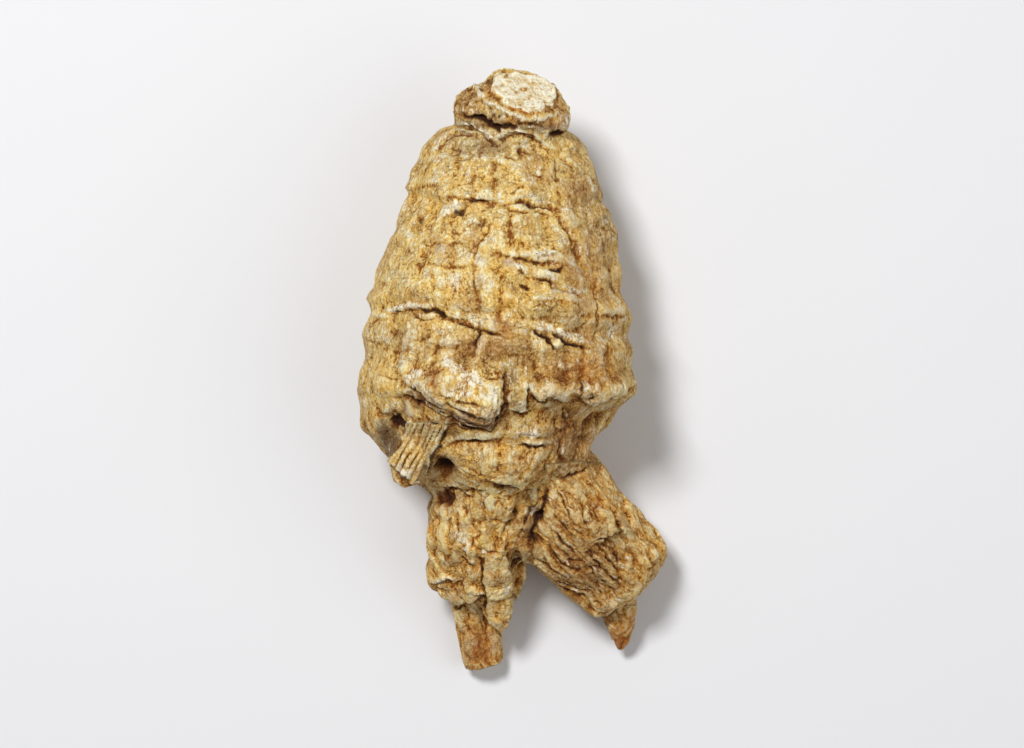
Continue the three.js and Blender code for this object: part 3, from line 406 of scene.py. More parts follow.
def smooth_noise(points, seed):
    """Perlin's noise, from about -1 to 1, with swells one unit wide."""
    cell = np.floor(points).astype(np.int64)
    local = points - cell
    ease = local**3 * (local * (local * 6 - 15) + 10)
    total = np.zeros(len(points))
    for corner in itertools.product((0, 1), repeat=3):
        slope = scattered(cell + corner, seed) * 2 - 1
        weight = np.prod(np.where(corner, ease, 1 - ease), axis=-1)
        total += weight * np.sum(slope * (local - corner), axis=-1)
    return 1.6 * total


def wandering(points, width, seeds):
    """An uneven shift for each point, in swells of a given width, with a number for each seed."""
    return np.stack([smooth_noise(points / width, seed) for seed in seeds], -1)


def step_up(values, low, high):
    """0 below `low`, 1 above `high`, and smooth between them."""
    share = np.clip((values - low) / (high - low), 0, 1)
    return share * share * (3 - 2 * share)


def step_down(values, low, high):
    """1 below `low`, 0 above `high`, and smooth between them."""
    return step_up(-values, -high, -low)


def bell(values):
    return np.exp(-values * values)


def pleats(points, seed, softness=0.75, level=0.5):
    """Round-crested wrinkles with sharp valleys, 1 high from valley to crest, and 0 at the level given."""
    return np.clip(np.abs(smooth_noise(points, seed)) * 1.7, 0, 1) ** softness - level


# ---- the skin's mesh ----


def in_scene(name, data):
    """A new object of the scene."""
    thing = bpy.data.objects.new(name, data)
    bpy.context.scene.collection.objects.link(thing)
    return thing


def modified(thing):
    """The object's mesh with its modifiers carried out, as a new mesh."""
    evaluated = thing.evaluated_get(bpy.context.evaluated_depsgraph_get())
    mesh = bpy.data.meshes.new_from_object(evaluated)
    mesh.name = "root_skin"
    return mesh


def from_frame():
    """The matrix from the frame's metres to the root's own millimetres."""
    low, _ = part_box("ginseng_root")
    shift = Matrix.Translation((BOX_CORNER[0] - low.x / MM, BOX_CORNER[1] - low.y / MM, 0))
    return shift @ Matrix.Scale(1 / MM, 4)


def even_mesh(node):
    """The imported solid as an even, fine and rounded mesh in the root's own millimetres."""
    rough = in_scene("rough", node.data.copy())
    rough.data.transform(from_frame())
    remesh = rough.modifiers.new("remesh", "REMESH")
    remesh.mode = "VOXEL"
    remesh.voxel_size = VOXEL
    smooth = rough.modifiers.new("smooth", "SMOOTH")
    smooth.factor = 0.5
    smooth.iterations = ROUNDING
    mesh = modified(rough)
    bpy.data.objects.remove(rough)
    return mesh


def thinned(mesh):
    """The mesh with fewer faces where it is smooth, as an object of the scene."""
    skin = in_scene("root_skin", mesh)
    thin = skin.modifiers.new("thin", "DECIMATE")
    thin.ratio = min(1, TRIANGLES / sum(len(face.vertices) - 2 for face in mesh.polygons))
    skin.data = modified(skin)
    skin.modifiers.clear()
    skin.data.shade_smooth()
    return skin


def vertex_places(mesh):
    rows = np.empty(len(mesh.vertices) * 3)
    mesh.vertices.foreach_get("co", rows)
    return rows.reshape(-1, 3)


def neighbour_pairs(mesh):
    pairs = np.empty(len(mesh.edges) * 2, dtype=np.int64)
    mesh.edges.foreach_get("vertices", pairs)
    return pairs.reshape(-1, 2).T


def blurred(values, pairs, times):
    """Each vertex's value mixed with its neighbours', again and again."""
    ends = np.concatenate([pairs[0], pairs[1]])
    others = np.concatenate([pairs[1], pairs[0]])
    count = np.bincount(ends, minlength=len(values))
    for _ in range(times):
        around = np.bincount(ends, weights=values[others], minlength=len(values)) / count
        values = 0.4 * values + 0.6 * around
    return values


def limb_reach(points, limb):
    """How far each point is from a limb's axis, in the limb's own radii."""
    start, end, start_radius, end_radius = limb
    start, end = np.array(start), np.array(end)
    line = end - start
    share = np.clip((points - start) @ line / (line @ line), 0, 1)
    away = np.linalg.norm(points - start - share[:, None] * line, axis=-1)
    return away / (start_radius + share * (end_radius - start_radius))


def limb_masks(points):
    """For each limb, True where the skin is that limb's. What no limb claims is the trunk's."""
    x, y, z = points.T
    reach = {name: limb_reach(points, limb) for name, limb in LIMBS.items()}
    spur = (reach["spur"] < 1.5) & (y < 6.6) & (x > 9.5)
    side = (inside(x, y, "wedge") > 0) & (z > 13.5)
    nub = (reach["nub"] < 1.35) & (y < 7.6) & (z > 4.5) & (x < 3.5)
    tip = (reach["cut_tip"] < 1.6) & (y < 7.2) & (x < 3.5) & ~nub
    leg = (reach["second_leg"] < reach["main_leg"]) & (y < 21.6 - 0.1 * np.abs(x - 8)) & (x > 1.5)
    leg &= ~spur & ~nub & ~tip
    return {"spur": spur, "side_root": side, "cut_tip": tip, "nub": nub, "second_leg": leg}


def grain_rows(points, masks):
    """Each point in the coordinates of its own limb: across, along, and the other way across."""
    grain = points.copy()
    for name, mask in masks.items():
        start, end = (Vector(LIMBS[name][i]) for i in range(2))
        turn = np.array((end - start).rotation_difference(Vector((0, -1, 0))).to_matrix())
        grain[mask] = points[mask] @ turn.T
    return grain


# ---- places on the face that looks up ----


def stroke(x, y, line):
    """How far each place is from a line, above 0 on its upper side, and a fade to the line's ends."""
    best = np.full(len(x), 1e9)
    signed = np.zeros(len(x))
    share = np.zeros(len(x))
    lengths = np.linalg.norm(np.diff(line, axis=0), axis=-1)
    before = 0.0
    for (ax, ay), (bx, by), length in zip(line[:-1], line[1:], lengths):
        ux, uy = (bx - ax) / length, (by - ay) / length
        along = np.clip((x - ax) * ux + (y - ay) * uy, 0, length)
        dx, dy = x - ax - along * ux, y - ay - along * uy
        away = np.hypot(dx, dy)
        closer = away < best
        best = np.where(closer, away, best)
        upper = (dy * ux - dx * uy) * (1 if ux >= 0 else -1)
        signed = np.where(closer, away * np.sign(upper), signed)
        share = np.where(closer, (before + along) / lengths.sum(), share)
        before += length
    return signed, np.clip(3.2 * np.minimum(share, 1 - share) + 0.25, 0, 1)


def inside(x, y, name):
    """How far each place lies inside one of the outlines, below 0 outside it."""
    corners = np.array(OUTLINES[name], dtype=float)
    within = np.zeros(len(x), dtype=bool)
    nearest = np.full(len(x), 1e9)
    for (ax, ay), (bx, by) in zip(corners, np.roll(corners, -1, axis=0)):
        dx, dy = bx - ax, by - ay
        with np.errstate(divide="ignore", invalid="ignore"):
            within ^= ((ay > y) != (by > y)) & (x < dx * (y - ay) / dy + ax)
        share = np.clip(((x - ax) * dx + (y - ay) * dy) / (dx**2 + dy**2), 0, 1)
        nearest = np.minimum(nearest, np.hypot(x - ax - share * dx, y - ay - share * dy))
    return np.where(within, nearest, -nearest)


def outlined(points, up, name):
    """How far each point belongs to one of the outlines."""
    return step_up(inside(points[:, 0], points[:, 1], name), 0, 0.3) * (up > 0)


def seen_from_above(points):
    """Each point's place on one level plane as the eye above the root sees it."""
    middle = np.array(EYE[:2])
    return middle + (points[:, :2] - middle) * ((EYE[2] - EYE_PLANE) / (EYE[2] - points[:, 2:]))


def patches(points, up, wander, places):
    """How far each point belongs to one of the patches."""
    x, y = (seen_from_above(points) + wander[:, :2]).T
    share = np.zeros(len(x))
    for cx, cy, across, along, strength in places:
        shape = bell(np.hypot((x - cx) / across, (y - cy) / along))
        share = np.maximum(share, strength * shape)
    return share * step_up(up, 0.05, 0.45)


# ---- drawn relief ----


class Drawing:
    """What is drawn on the face that looks up: its rise, its share of cracks and painted shadow lines, and
    its share of light-coloured edges and painted highlight.
    """

    def __init__(self, points, places):
        self.x, self.y = places.T
        self.ragged = np.clip(0.6 + smooth_noise(points / 0.6, 51), 0, 1.2)
        self.broken = step_up(smooth_noise(points / 1.3, 52), -0.55, -0.05)
        self.rise, self.crack_and_shadow, self.pale_and_highlight = (np.zeros(len(points)) for _ in range(3))

    def darken(self, share):
        self.crack_and_shadow = np.maximum(self.crack_and_shadow, share)

    def lighten(self, share):
        self.pale_and_highlight = np.maximum(self.pale_and_highlight, share)

    def strokes(self, table, numbers):
        """For each row of a table, what `stroke` gives for its line, and its first few numbers."""
        for row in table:
            line = np.reshape(row[numbers:], (-1, 2)).astype(float)
            yield *stroke(self.x, self.y, line), *row[:numbers]


def draw_blocks(d):
    for name, (low_rise, high_rise, steps, tread) in BLOCKS.items():
        low, high = min(y for _, y in OUTLINES[name]), max(y for _, y in OUTLINES[name])
        tilt = np.clip((d.y - low) / (high - low), 0, 1)
        depth = inside(d.x, d.y, name)
        for step in range(steps):
            here = depth - step * tread
            d.rise += step_up(here, -0.12, 0.12) * (low_rise + tilt * (high_rise - low_rise)) / steps
            # A dark line just outside the step's edge, partly cracked bark and partly painted shadow.
            d.darken(1.3 * (1 - tilt) * bell((here + 0.14) / 0.12) * d.ragged)
            d.lighten(0.5 * (1 - tilt) * bell((here - 0.14) / 0.14) * d.ragged)


def draw_furrows(d):
    for signed, fade, depth, half in d.strokes(FURROWS, 2):
        d.rise -= 0.7 * depth * fade * bell(signed / half)
        d.darken(0.45 * fade * d.broken * bell(signed / (0.3 * half)) * d.ragged)


def draw_knobs(d):
    for cx, cy, reach, height in KNOBS:
        shape = bell(np.hypot(d.x - cx, d.y - cy) / reach)
        d.rise += height * shape
        # Deep pits painted dark as their shade.
        d.darken(shape * (height < -0.5))


def draw_ledges(d):
    for signed, fade, drop, reach, paleness in d.strokes(LEDGES, 3):
        edge = step_up(signed, -0.08, 0.1) * bell(np.maximum(signed - 0.1, 0) / reach)
        d.rise += drop * fade * edge - 0.4 * drop * fade * bell((signed + 0.24) / 0.18)
        # A dark line of painted shadow under the edge, and a paler edge, partly light-coloured bark and
        # partly painted highlight.
        d.darken(min(0.9, 2.8 * drop) * fade * bell((signed + 0.18) / 0.14) * d.ragged)
        d.lighten(paleness * fade * bell((signed - 0.1) / 0.12) * d.ragged * d.broken)


def draw_flakes(d):
    for signed, fade, height, half in d.strokes(FLAKES, 2):
        strip = step_up(half * fade * (0.75 + 0.25 * d.ragged) - np.abs(signed), -0.08, 0.08)
        d.rise += 0.7 * height * fade * strip * (1 - 0.5 * signed / half)
        # A dark line of painted shadow under the flake.
        d.darken(0.9 * fade * bell((signed + half + 0.12) / 0.13) * d.ragged)
        d.lighten(fade * strip * (0.4 + 0.6 * d.ragged))


def draw_cracks(d):
    for signed, fade, depth, half in d.strokes(CRACKS, 2):
        whole_length = np.maximum(0.35 + 0.65 * d.broken, min(1, 2 * depth - 0.6))
        strength = fade * whole_length * bell(signed / (half * (0.45 + 0.5 * d.ragged)))
        d.rise -= 0.5 * depth * strength * (0.5 + 0.4 * d.ragged)
        d.darken(strength * (0.45 + depth))
        # A lighter fringe on the upper side of each of the cracks, partly lifted bark and partly painted
        # highlight.
        fringe = bell((signed - 1.9 * half) / (0.7 * half)) * (depth < 1)
        d.lighten(0.7 * fade * d.broken * d.ragged * fringe)


def drawn_relief(points, up, wander):
    """The drawing's rise, its share of cracks and painted shadow lines and its share of light-coloured edges
    and painted highlight, at each point of the whole skin.
    """
    top = (up > -0.05) & (points[:, 2] > 2)
    d = Drawing(points[top], seen_from_above(points)[top] + wander[top])
    for draw in (draw_blocks, draw_furrows, draw_knobs, draw_ledges, draw_flakes, draw_cracks):
        draw(d)
    whole = np.zeros((3, len(points)))
    whole[:, top] = np.array([d.rise, d.crack_and_shadow, d.pale_and_highlight]) * step_up(up[top], 0.1, 0.5)
    return whole


# ---- grown relief ----


def wedge_relief(points, up):
    """The broken side root's fibres: how far each point belongs to it, its rise and its share of cracks."""
    x, y, z = points.T
    wedge = outlined(points, up, "wedge") * step_up(z, 13, 14.5)
    along, across = x * WEDGE_ALONG[0] + y * WEDGE_ALONG[1], x * WEDGE_ALONG[1] - y * WEDGE_ALONG[0]
    fibre_place = np.stack([across, along, 0 * across], -1)
    bend = smooth_noise(fibre_place / (1.3, 3.5, 1), 31)
    fibres = np.abs(np.sin(np.pi * (across / FIBRE_PITCH + 0.7 * bend))) ** 0.7
    threads = np.clip(1 - np.abs(smooth_noise(fibre_place / (0.24, 5, 1), 32)) * 1.6, 0, 1)
    strength = 0.55 + 0.45 * step_up(smooth_noise(fibre_place / (0.7, 2.2, 1), 33), -0.3, 0.3)
    rise = 0.32 * strength * (fibres - 0.7) + 0.08 * (threads - 0.6)
    return wedge, wedge * rise, wedge * strength * step_down(fibres, 0.35, 0.72)


def trunk_rings(points, trunk, bent):
    """The rings round the trunk: their rise, and their share of cracks before it is broken into lengths."""
    ring = bent[:, 1] / RING_PITCH + 0.5 * smooth_noise(points / (5, 9, 5), 17)
    ring_here = step_up(smooth_noise(points / (3.4, 2, 3.4), 18), -0.35, 0.3)
    rise = trunk * 0.11 * ring_here * (np.abs(np.sin(np.pi * ring)) ** 0.6 - 0.75)
    return rise, ring_here * bell(np.sin(np.pi * ring) / 0.14)


def skin_relief(points, up, grain, wander, fine):
    """How far the skin rises at each point, its share of cracks and painted shadow lines there, and its share
    of light-coloured edges and painted highlight.
    """
    y = points[:, 1]
    legs = step_down(y, *LEGS_BELOW)
    trunk = (1 - legs) * (1 - 0.3 * step_up(y, *WAIST_ABOVE))
    bent = grain + 0.7 * wander + 0.15 * fine
    curled = grain + 0.4 * wander + 0.3 * fine

    ring_rise, in_ring = trunk_rings(points, trunk, bent)
    rise = 0.24 * smooth_noise(points / 4, 24) + ring_rise
    zones = {"trunk": trunk, "crown": step_up(y, *CROWN_ABOVE), "legs": legs, "whole": 1}
    zones["cuff"] = bell((y - CUFF) / 2)
    for zone, height, widths, *kind in PLEATS:
        rows = curled if zone == "whole" else bent
        rise += zones[zone] * height * pleats(rows / widths, *kind)
    crack_and_shadow = 0.6 * trunk * in_ring * step_up(smooth_noise(points / 1.8, 28), 0.15, 0.5)
    flank = step_down(up, 0, 0.45)
    flank_crack = trunk * flank * in_ring * step_up(smooth_noise(points / 3.2, 81), -0.1, 0.15)
    crack_and_shadow = np.maximum(crack_and_shadow, flank_crack)
    rise -= 0.2 * crack_and_shadow
    rise *= 0.65 + 0.35 * step_up(np.abs(up), 0.2, 0.6)

    hand_wander = 0.3 * wander[:, :2] + 0.16 * fine[:, :2] + 0.1 * wandering(points, 0.4, (53, 54))
    drawn_rise, drawn_crack, pale_and_highlight = drawn_relief(points, up, hand_wander)
    return rise + drawn_rise, np.maximum(crack_and_shadow, drawn_crack), pale_and_highlight


def neck_relief(points, up, wander, fine):
    """The cut face, the bark round it and the crumbly rest of the neck: its rise and its shares of cut face,
    of dark crumbs and of light crumbs.
    """
    x, y = (points + 0.25 * wander + 0.3 * fine)[:, :2].T
    top = step_up(up, 0, 0.3)
    depth = inside(x, y, "cut_face")
    cut = top * step_up(depth, -0.08, 0.12)
    neck = step_up(points[:, 1] + 0.4 * wander[:, 1], NECK_FOOT, NECK_FOOT + 0.5)
    bark = neck * (1 - cut) * np.where(top > 0, step_down(depth, -1.1, -0.6), 1)
    crumbs = smooth_noise(points / 0.75, 61) + 0.6 * smooth_noise(points / 0.35, 62)
    rise = 0.17 * bark * (crumbs - 0.5) + 0.18 * cut * smooth_noise(points / 0.8, 63)
    rise += 0.18 * top * bell((depth - 0.2) / 0.2) - 0.2 * top * neck * bell((depth + 0.3) / 0.25)
    return rise, cut, bark * step_down(crumbs, -0.7, -0.2), bark * step_up(crumbs, 0.45, 0.9)


def cut_ends(points):
    """How far each place belongs to the cut end of the tip or of the side root."""
    share = np.zeros(len(points))
    for name, (radius, depth) in CUT_ENDS.items():
        start, end = (np.array(LIMBS[name][i]) for i in range(2))
        axis = (end - start) / np.linalg.norm(end - start)
        ahead = (points - end) @ axis
        away = np.linalg.norm(points - end - ahead[:, None] * axis, axis=-1)
        reached = step_up(ahead, -depth, -0.3 * depth)
        share = np.maximum(share, reached * step_down(away, radius - 0.4, radius))
    return share


# ---- the whole skin ----


def store(mesh, name, values):
    kind, field = ("FLOAT", "value") if values.ndim == 1 else ("FLOAT_VECTOR", "vector")
    attribute = mesh.attributes.new(name, kind, "POINT")
    attribute.data.foreach_set(field, values.astype(np.float32).ravel())


def skin_shares(points, up, grain):
    """How far the skin rises at each point, and by name how far the point belongs to each kind of skin, some
    of them partly painted shade and highlight.
    """
    wander = wandering(points, 2.1, (11, 12, 13))
    fine = wandering(points, 0.8, (14, 15, 16))

    def patched(places):
        return patches(points, up, 0.2 * wander + 0.3 * fine, places)

    rise, crack_and_shadow, pale_and_highlight = skin_relief(points, up, grain, wander, fine)
    neck_rise, face, neck_crack, neck_pale = neck_relief(points, up, wander, fine)
    wedge, wedge_rise, wedge_crack = wedge_relief(points, up)
    facet, tile = (outlined(points, up, name) for name in ("facet", "tile"))
    cut = np.maximum(face, cut_ends(points))
    specks = step_up(smooth_noise(points / 0.42, 71), 0.1, 0.45)
    specks *= patched(SPECKLED_PATCHES) * (1 - cut)
    rise = rise * (1 - 0.8 * face) * (1 - 0.6 * facet) * (1 - 0.6 * wedge) * (1 - 0.5 * tile)
    rise += neck_rise + wedge_rise
    rise -= 0.15 * specks

    flank = step_down(up, 0, 0.4)
    flank_pale = flank * step_up(smooth_noise(points / (1.8, 1.2, 1.8), 82), 0.4, 0.8)
    flank_brown = 0.8 * flank * step_up(smooth_noise(points / 6, 83), -0.1, 0.5)
    crack_and_shadow = np.maximum.reduce([crack_and_shadow, 0.8 * neck_crack, 0.9 * wedge_crack, 0.9 * specks])
    pale_and_highlight = np.maximum.reduce([pale_and_highlight, 0.8 * neck_pale, patched(PALE_PATCHES), flank_pale])
    return rise, {
        # Cracks, and painted shadow lines under ledges, flakes and steps, in the deep pits and in the gaps.
        "crack_and_shadow": np.clip(crack_and_shadow, 0, 1.2),
        # Light-coloured bark and edges, partly painted highlight.
        "pale_and_highlight": np.clip(pale_and_highlight, 0, 1),
        # Browner skin, partly painted shade.
        "brown": np.maximum(patched(BROWN_AND_SHADE_PATCHES), flank_brown),
        "cut": cut,
        "legs": step_down(points[:, 1], *LEG_TONES_BELOW),
        # Greyer skin, partly painted shade.
        "grey": np.maximum(facet, patched(GREY_AND_SHADE_PATCHES)),
        "orange": patches(points, up, 0.5 * fine, ORANGE_PATCHES),
        # Painted shade: darker in the recesses, gaps and pits, and a little on the broken facet.
        "grime": np.maximum(0.35 * facet, patched(PAINTED_SHADE_PATCHES)),
    }


def root_skin():
    mesh = even_mesh(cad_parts["ginseng_root"])
    points = vertex_places(mesh)
    normals = np.array([tuple(n.vector) for n in mesh.vertex_normals])
    grain = grain_rows(points, limb_masks(points))
    rise, shares = skin_shares(points, normals[:, 2], grain)
    pairs = neighbour_pairs(mesh)
    small = rise - blurred(rise, pairs, SMALL_FORMS)
    broad = rise - blurred(rise, pairs, BROAD_FORMS)

    store(mesh, "grain", grain)
    # The tones follow this: darker in the hollows and lighter on the crests, partly painted shade and
    # highlight.
    store(mesh, "relief", np.clip(0.5 + SMALL_GAIN * small + BROAD_GAIN * broad, 0, 1))
    for name, share in shares.items():
        store(mesh, name, share)
    placed = points + rise[:, None] * normals
    placed[:, 2] = np.maximum(placed[:, 2], 0)
    placed[:, 2] -= CREST_CUT * np.maximum(placed[:, 2] - CREST, 0)
    mesh.vertices.foreach_set("co", placed.ravel())
    mesh.transform(from_frame().inverted())
    return thinned(mesh)


# ---- materials ----


def linear(hex_colour):
    """An sRGB colour written 0xrrggbb, as linear red, green, blue and 1."""
    parts = [(hex_colour >> shift & 255) / 255 for shift in (16, 8, 0)]
    return (*[p / 12.92 if p <= 0.04045 else ((p + 0.055) / 1.055) ** 2.4 for p in parts], 1.0)


class Nodes:
    """Short calls for the node tree of one material."""

    def __init__(self, name):
        self.material = bpy.data.materials.new(name)
        self.material.use_nodes = True
        self.tree = self.material.node_tree
        self.shader = self.tree.nodes["Principled BSDF"]

    def feed(self, node, inputs):
        """Sets inputs of a node, each to a value or to what another node gives."""
        for socket, value in inputs.items():
            if isinstance(value, bpy.types.NodeSocket):
                self.tree.links.new(value, node.inputs[socket])
            else:
                node.inputs[socket].default_value = value

    def add(self, kind, inputs, **settings):
        node = self.tree.nodes.new(kind)
        for key, value in settings.items():
            setattr(node, key, value)
        self.feed(node, inputs)
        return node

    def attribute(self, name, output="Fac"):
        return self.add("ShaderNodeAttribute", {}, attribute_name=name).outputs[output]

    def scaled(self, vector, scale):
        return self.add("ShaderNodeMapping", {0: vector, 3: scale}).outputs[0]

    def noise(self, vector, scale, detail, roughness=0.6, distortion=0):
        inputs = {"Vector": self.scaled(vector, scale), "Scale": 1, "Detail": detail}
        inputs |= {"Roughness": roughness, "Distortion": distortion}
        return self.add("ShaderNodeTexNoise", inputs).outputs["Fac"]

    def veins(self, vector, scale):
        inputs = {"Vector": self.scaled(vector, scale), "Scale": 1}
        return self.add("ShaderNodeTexVoronoi", inputs, feature="DISTANCE_TO_EDGE").outputs["Distance"]

    def contours(self, vector, scale):
        """0 on thin wandering lines and 1 between them."""
        level = self.noise(vector, scale, 3, 0.5, 1.2)
        return self.ramp(self.math("ABSOLUTE", self.minus(level, 0.5), 0), 0, 0.03)

    def ramp(self, value, low, high, low_value=0, high_value=1):
        inputs = {0: value, 1: low, 2: high, 3: low_value, 4: high_value}
        return self.add("ShaderNodeMapRange", inputs, interpolation_type="SMOOTHSTEP").outputs[0]

    def crisp(self, share, grain, low, high, wildness=1):
        """A soft share cut to a ragged edge by a fine grain."""
        return self.ramp(self.plus(share, self.times(self.minus(grain, 0.5), wildness)), low, high)

    def math(self, operation, first, second):
        return self.add("ShaderNodeMath", {0: first, 1: second}, operation=operation).outputs[0]

    def times(self, first, second):
        return self.math("MULTIPLY", first, second)

    def plus(self, first, second):
        return self.math("ADD", first, second)

    def minus(self, first, second):
        return self.math("SUBTRACT", first, second)

    def mixed(self, share, first, second, blend="MIX"):
        """Two colours, each a socket or an sRGB number."""
        first, second = (linear(c) if isinstance(c, int) else c for c in (first, second))
        inputs = {0: share, 6: first, 7: second}
        return self.add("ShaderNodeMix", inputs, data_type="RGBA", blend_type=blend).outputs[2]


def skin_patterns(n):
    """What is stored on the skin, and its fine patterns from 0 to 1."""
    names = ("relief", "crack_and_shadow", "pale_and_highlight", "cut", "legs", "grey", "orange", "brown", "grime")
    p = SimpleNamespace(grain=n.attribute("grain", "Vector"), **{name: n.attribute(name) for name in names})
    p.curls = n.noise(p.grain, (2.2, 1.9, 2.2), 5, 0.65, 1)
    leg_fibres = n.noise(p.grain, (3, 0.7, 3), 4, 0.65, 0.5)
    trunk_fibres = n.noise(p.grain, (3.2, 1.2, 3.2), 4, 0.65, 0.8)
    p.fibres = n.add("ShaderNodeMix", {0: p.legs, 2: trunk_fibres, 3: leg_fibres}).outputs[0]
    p.specks = n.noise(p.grain, (3.4, 3.4, 3.4), 3, 0.7)
    p.here = n.noise(p.grain, (0.7, 0.7, 0.7), 2)

    hairs = n.math("MINIMUM", n.contours(p.grain, (0.7, 0.9, 0.7)), n.contours(p.grain, (1.6, 0.9, 1.6)))
    threads = n.math("MAXIMUM", n.contours(p.grain, (1.5, 0.35, 1.5)), n.minus(1, p.legs))
    p.hairs = n.math("MINIMUM", hairs, threads)
    warp = n.add("ShaderNodeTexNoise", {"Vector": p.grain, "Scale": 1.1, "Detail": 3}).outputs["Color"]
    warped = n.add("ShaderNodeVectorMath", {0: p.grain, 1: warp}, operation="ADD").outputs[0]
    p.veins = n.ramp(n.veins(warped, (1.1, 0.45, 1.1)), 0, 0.1)
    splits = n.ramp(n.veins(warped, (0.45, 0.75, 0.45)), 0, 0.07, 1, 0)
    p.splits = n.times(splits, n.ramp(n.plus(p.here, n.times(p.brown, 0.1)), 0.5, 0.62))
    p.crack_and_shadow = n.crisp(p.crack_and_shadow, p.specks, 0.25, 1, 1.6)
    p.pale_and_highlight = n.crisp(p.pale_and_highlight, p.fibres, 0.25, 0.9, 2)
    p.cut = n.crisp(p.cut, p.curls, 0.35, 0.6)
    return p


def skin_heights(n, p):
    """How high the finest forms stand, and the whole height that the skin's tones follow."""
    fine = n.plus(n.ramp(p.curls, 0.38, 0.62, 0, 0.28), n.ramp(p.fibres, 0.38, 0.62, 0, 0.34))
    fine = n.plus(fine, n.times(p.veins, 0.15))
    fine = n.plus(fine, n.times(p.hairs, 0.15))
    fine = n.plus(fine, n.ramp(p.specks, 0.3, 0.7, -0.27, 0.27))
    broad_part = n.times(p.relief, n.ramp(p.legs, 0, 1, 0.72, 0.78))
    return fine, n.plus(broad_part, n.times(fine, n.ramp(p.legs, 0, 1, 0.66, 0.8)))


def layered(n, colour, layers):
    """The colour under layers, each a share, a colour and, if it isn't simply laid on, how it blends."""
    for share, *layer in layers:
        colour = n.mixed(share, colour, *layer)
    return colour


def skin_tones(n, p, height):
    """The colour of trunk and legs, darker in the hollows and lighter on the crests as partly painted shade
    and highlight, with their greyer and browner parts, also partly painted shade, and their clouds and tints.
    """
    deep_to_mid = n.ramp(height, 0.25, 0.72)
    mid_to_light = n.ramp(height, 0.72, 1.08)

    def tone(deep, mid, light):
        return n.mixed(mid_to_light, n.mixed(deep_to_mid, deep, mid), light)

    clouds = n.noise(p.grain, (0.4, 0.25, 0.4), 3)
    tints = n.noise(p.grain, (0.9, 0.8, 0.9), 3, 0.5)
    lines = n.minus(1, n.times(n.ramp(p.veins, 0, 1, 0.3, 1), p.hairs))
    flecks = n.times(n.ramp(p.fibres, 0.57, 0.66), n.ramp(p.relief, 0.4, 0.65))
    return layered(n, n.mixed(p.legs, tone(*BODY), tone(*LEG)), [
        (n.ramp(clouds, 0.45, 0.62, 0, 0.45), HONEY, "MULTIPLY"),
        (n.ramp(clouds, 0.36, 0.48, 0.5, 0), DUN, "MULTIPLY"),
        # The greyer tone, partly painted shade.
        (n.times(p.grey, 0.85), tone(*GREY_AND_SHADE_TONES)),
        # The browner tone, partly painted shade.
        (n.times(p.brown, 0.9), tone(*BROWN_AND_SHADE_TONES)),
        (n.times(lines, n.ramp(p.here, 0.4, 0.6, 0.15, 0.5)), LINE),
        (n.ramp(tints, 0.5, 0.65, 0, 0.6), CREAM, "MULTIPLY"),
        (n.ramp(tints, 0.36, 0.5, 0.5, 0), ASH, "MULTIPLY"),
        (n.times(flecks, n.ramp(p.legs, 0, 1, 0.4, 0.2)), FLECK),
    ])


def skin_colour(n, p, fine, height):
    """The tones with what lies over them: stains, painted shade, light-coloured edges partly painted
    highlight, splits, cracks with painted shadow lines, and cut ends.
    """
    blotches = n.noise(p.grain, (1.1, 1.3, 1.1), 5, 0.7, 0.2)
    pith = n.mixed(n.ramp(blotches, 0.42, 0.54), *PITH)
    pith = n.mixed(n.ramp(p.specks, 0.32, 0.48), PITH_SPECK, pith)
    return layered(n, skin_tones(n, p, height), [
        (n.times(p.orange, 0.85), ORANGE),
        # Painted shade in the recesses, gaps and pits, laid on by multiplying.
        (p.grime, PAINTED_SHADE_TINT, "MULTIPLY"),
        # Light-coloured edges, partly painted highlight.
        (n.times(p.pale_and_highlight, 0.85), n.mixed(n.ramp(fine, 0.2, 0.75), *EDGE_AND_HIGHLIGHT)),
        (n.times(p.splits, 0.45), SPLIT),
        # Cracks and painted shadow lines.
        (n.times(p.crack_and_shadow, 0.92), n.mixed(n.ramp(p.crack_and_shadow, 0.5, 1), *CRACK_AND_SHADOW)),
        (p.cut, n.mixed(n.ramp(blotches, 0.34, 0.4), PITH_RING, pith)),
    ])


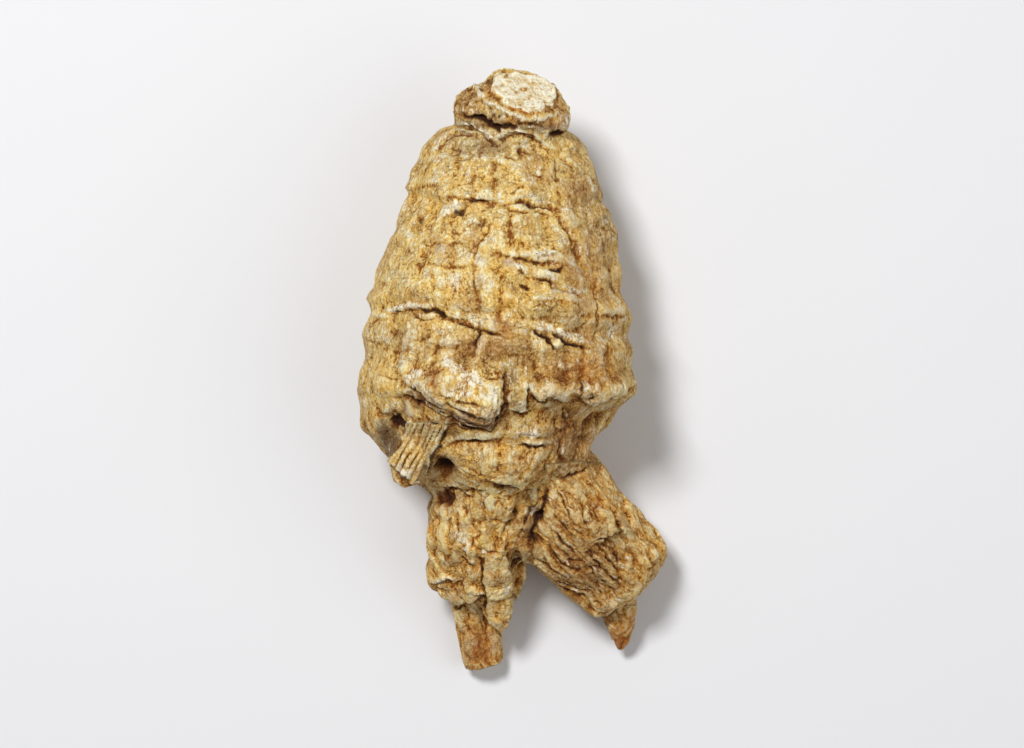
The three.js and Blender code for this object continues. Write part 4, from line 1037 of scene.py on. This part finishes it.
def skin_material():
    n = Nodes("root_skin")
    p = skin_patterns(n)
    fine, height = skin_heights(n, p)
    bumps = n.minus(fine, n.times(p.crack_and_shadow, 0.8))
    bump = n.add("ShaderNodeBump", {"Strength": 0.9, "Distance": 0.13 * MM, "Height": bumps})
    n.feed(n.shader, {
        "Base Color": skin_colour(n, p, fine, height),
        "Roughness": n.ramp(height, 0.1, 0.9, 0.95, 0.72),
        "Specular IOR Level": 0.25,
        "Normal": bump.outputs[0],
    })
    return n.material


def floor_material():
    n = Nodes("studio_floor")
    n.feed(n.shader, {"Base Color": linear(FLOOR), "Roughness": 0.7, "Specular IOR Level": 0.2})
    return n.material


# ---- studio ----


def make_camera():
    camera = in_scene("camera", bpy.data.cameras.new("camera"))
    camera.data.lens = LENS
    camera.data.clip_start = 0.01
    camera.location = (0, 0, CAMERA_HEIGHT)
    bpy.context.scene.camera = camera


def area_light(name, place, size, power):
    light = bpy.data.lights.new(name, "AREA")
    light.energy = power
    light.size = size
    lamp = in_scene(name, light)
    lamp.location = place
    lamp.rotation_euler = (-Vector(place)).to_track_quat("-Z", "Y").to_euler()


def make_studio():
    bpy.context.scene.view_settings.view_transform = "Standard"
    world = bpy.data.worlds.new("studio")
    world.use_nodes = True
    sky = world.node_tree.nodes["Background"].inputs
    sky["Color"].default_value = (1, 1, 1, 1)
    sky["Strength"].default_value = SKY_STRENGTH
    bpy.context.scene.world = world
    for name, lamp in LAMPS.items():
        area_light(name, *lamp)

    corners = [(x * FLOOR_REACH, y * FLOOR_REACH, 0) for x, y in ((-1, -1), (1, -1), (1, 1), (-1, 1))]
    mesh = bpy.data.meshes.new("floor")
    mesh.from_pydata(corners, [], [(0, 1, 2, 3)])
    floor = in_scene("floor", mesh)
    floor.data.materials.append(floor_material())


# ---- the scene ----

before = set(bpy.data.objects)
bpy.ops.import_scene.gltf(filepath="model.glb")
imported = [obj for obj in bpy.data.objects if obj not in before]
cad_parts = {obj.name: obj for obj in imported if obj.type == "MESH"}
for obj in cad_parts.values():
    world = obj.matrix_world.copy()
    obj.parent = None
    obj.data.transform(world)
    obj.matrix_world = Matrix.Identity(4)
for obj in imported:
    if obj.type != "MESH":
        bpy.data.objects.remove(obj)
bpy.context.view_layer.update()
make_camera()
make_studio()
skin = root_skin()
skin.data.materials.clear()
skin.data.materials.append(skin_material())
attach(skin, "root")
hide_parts("ginseng_root")
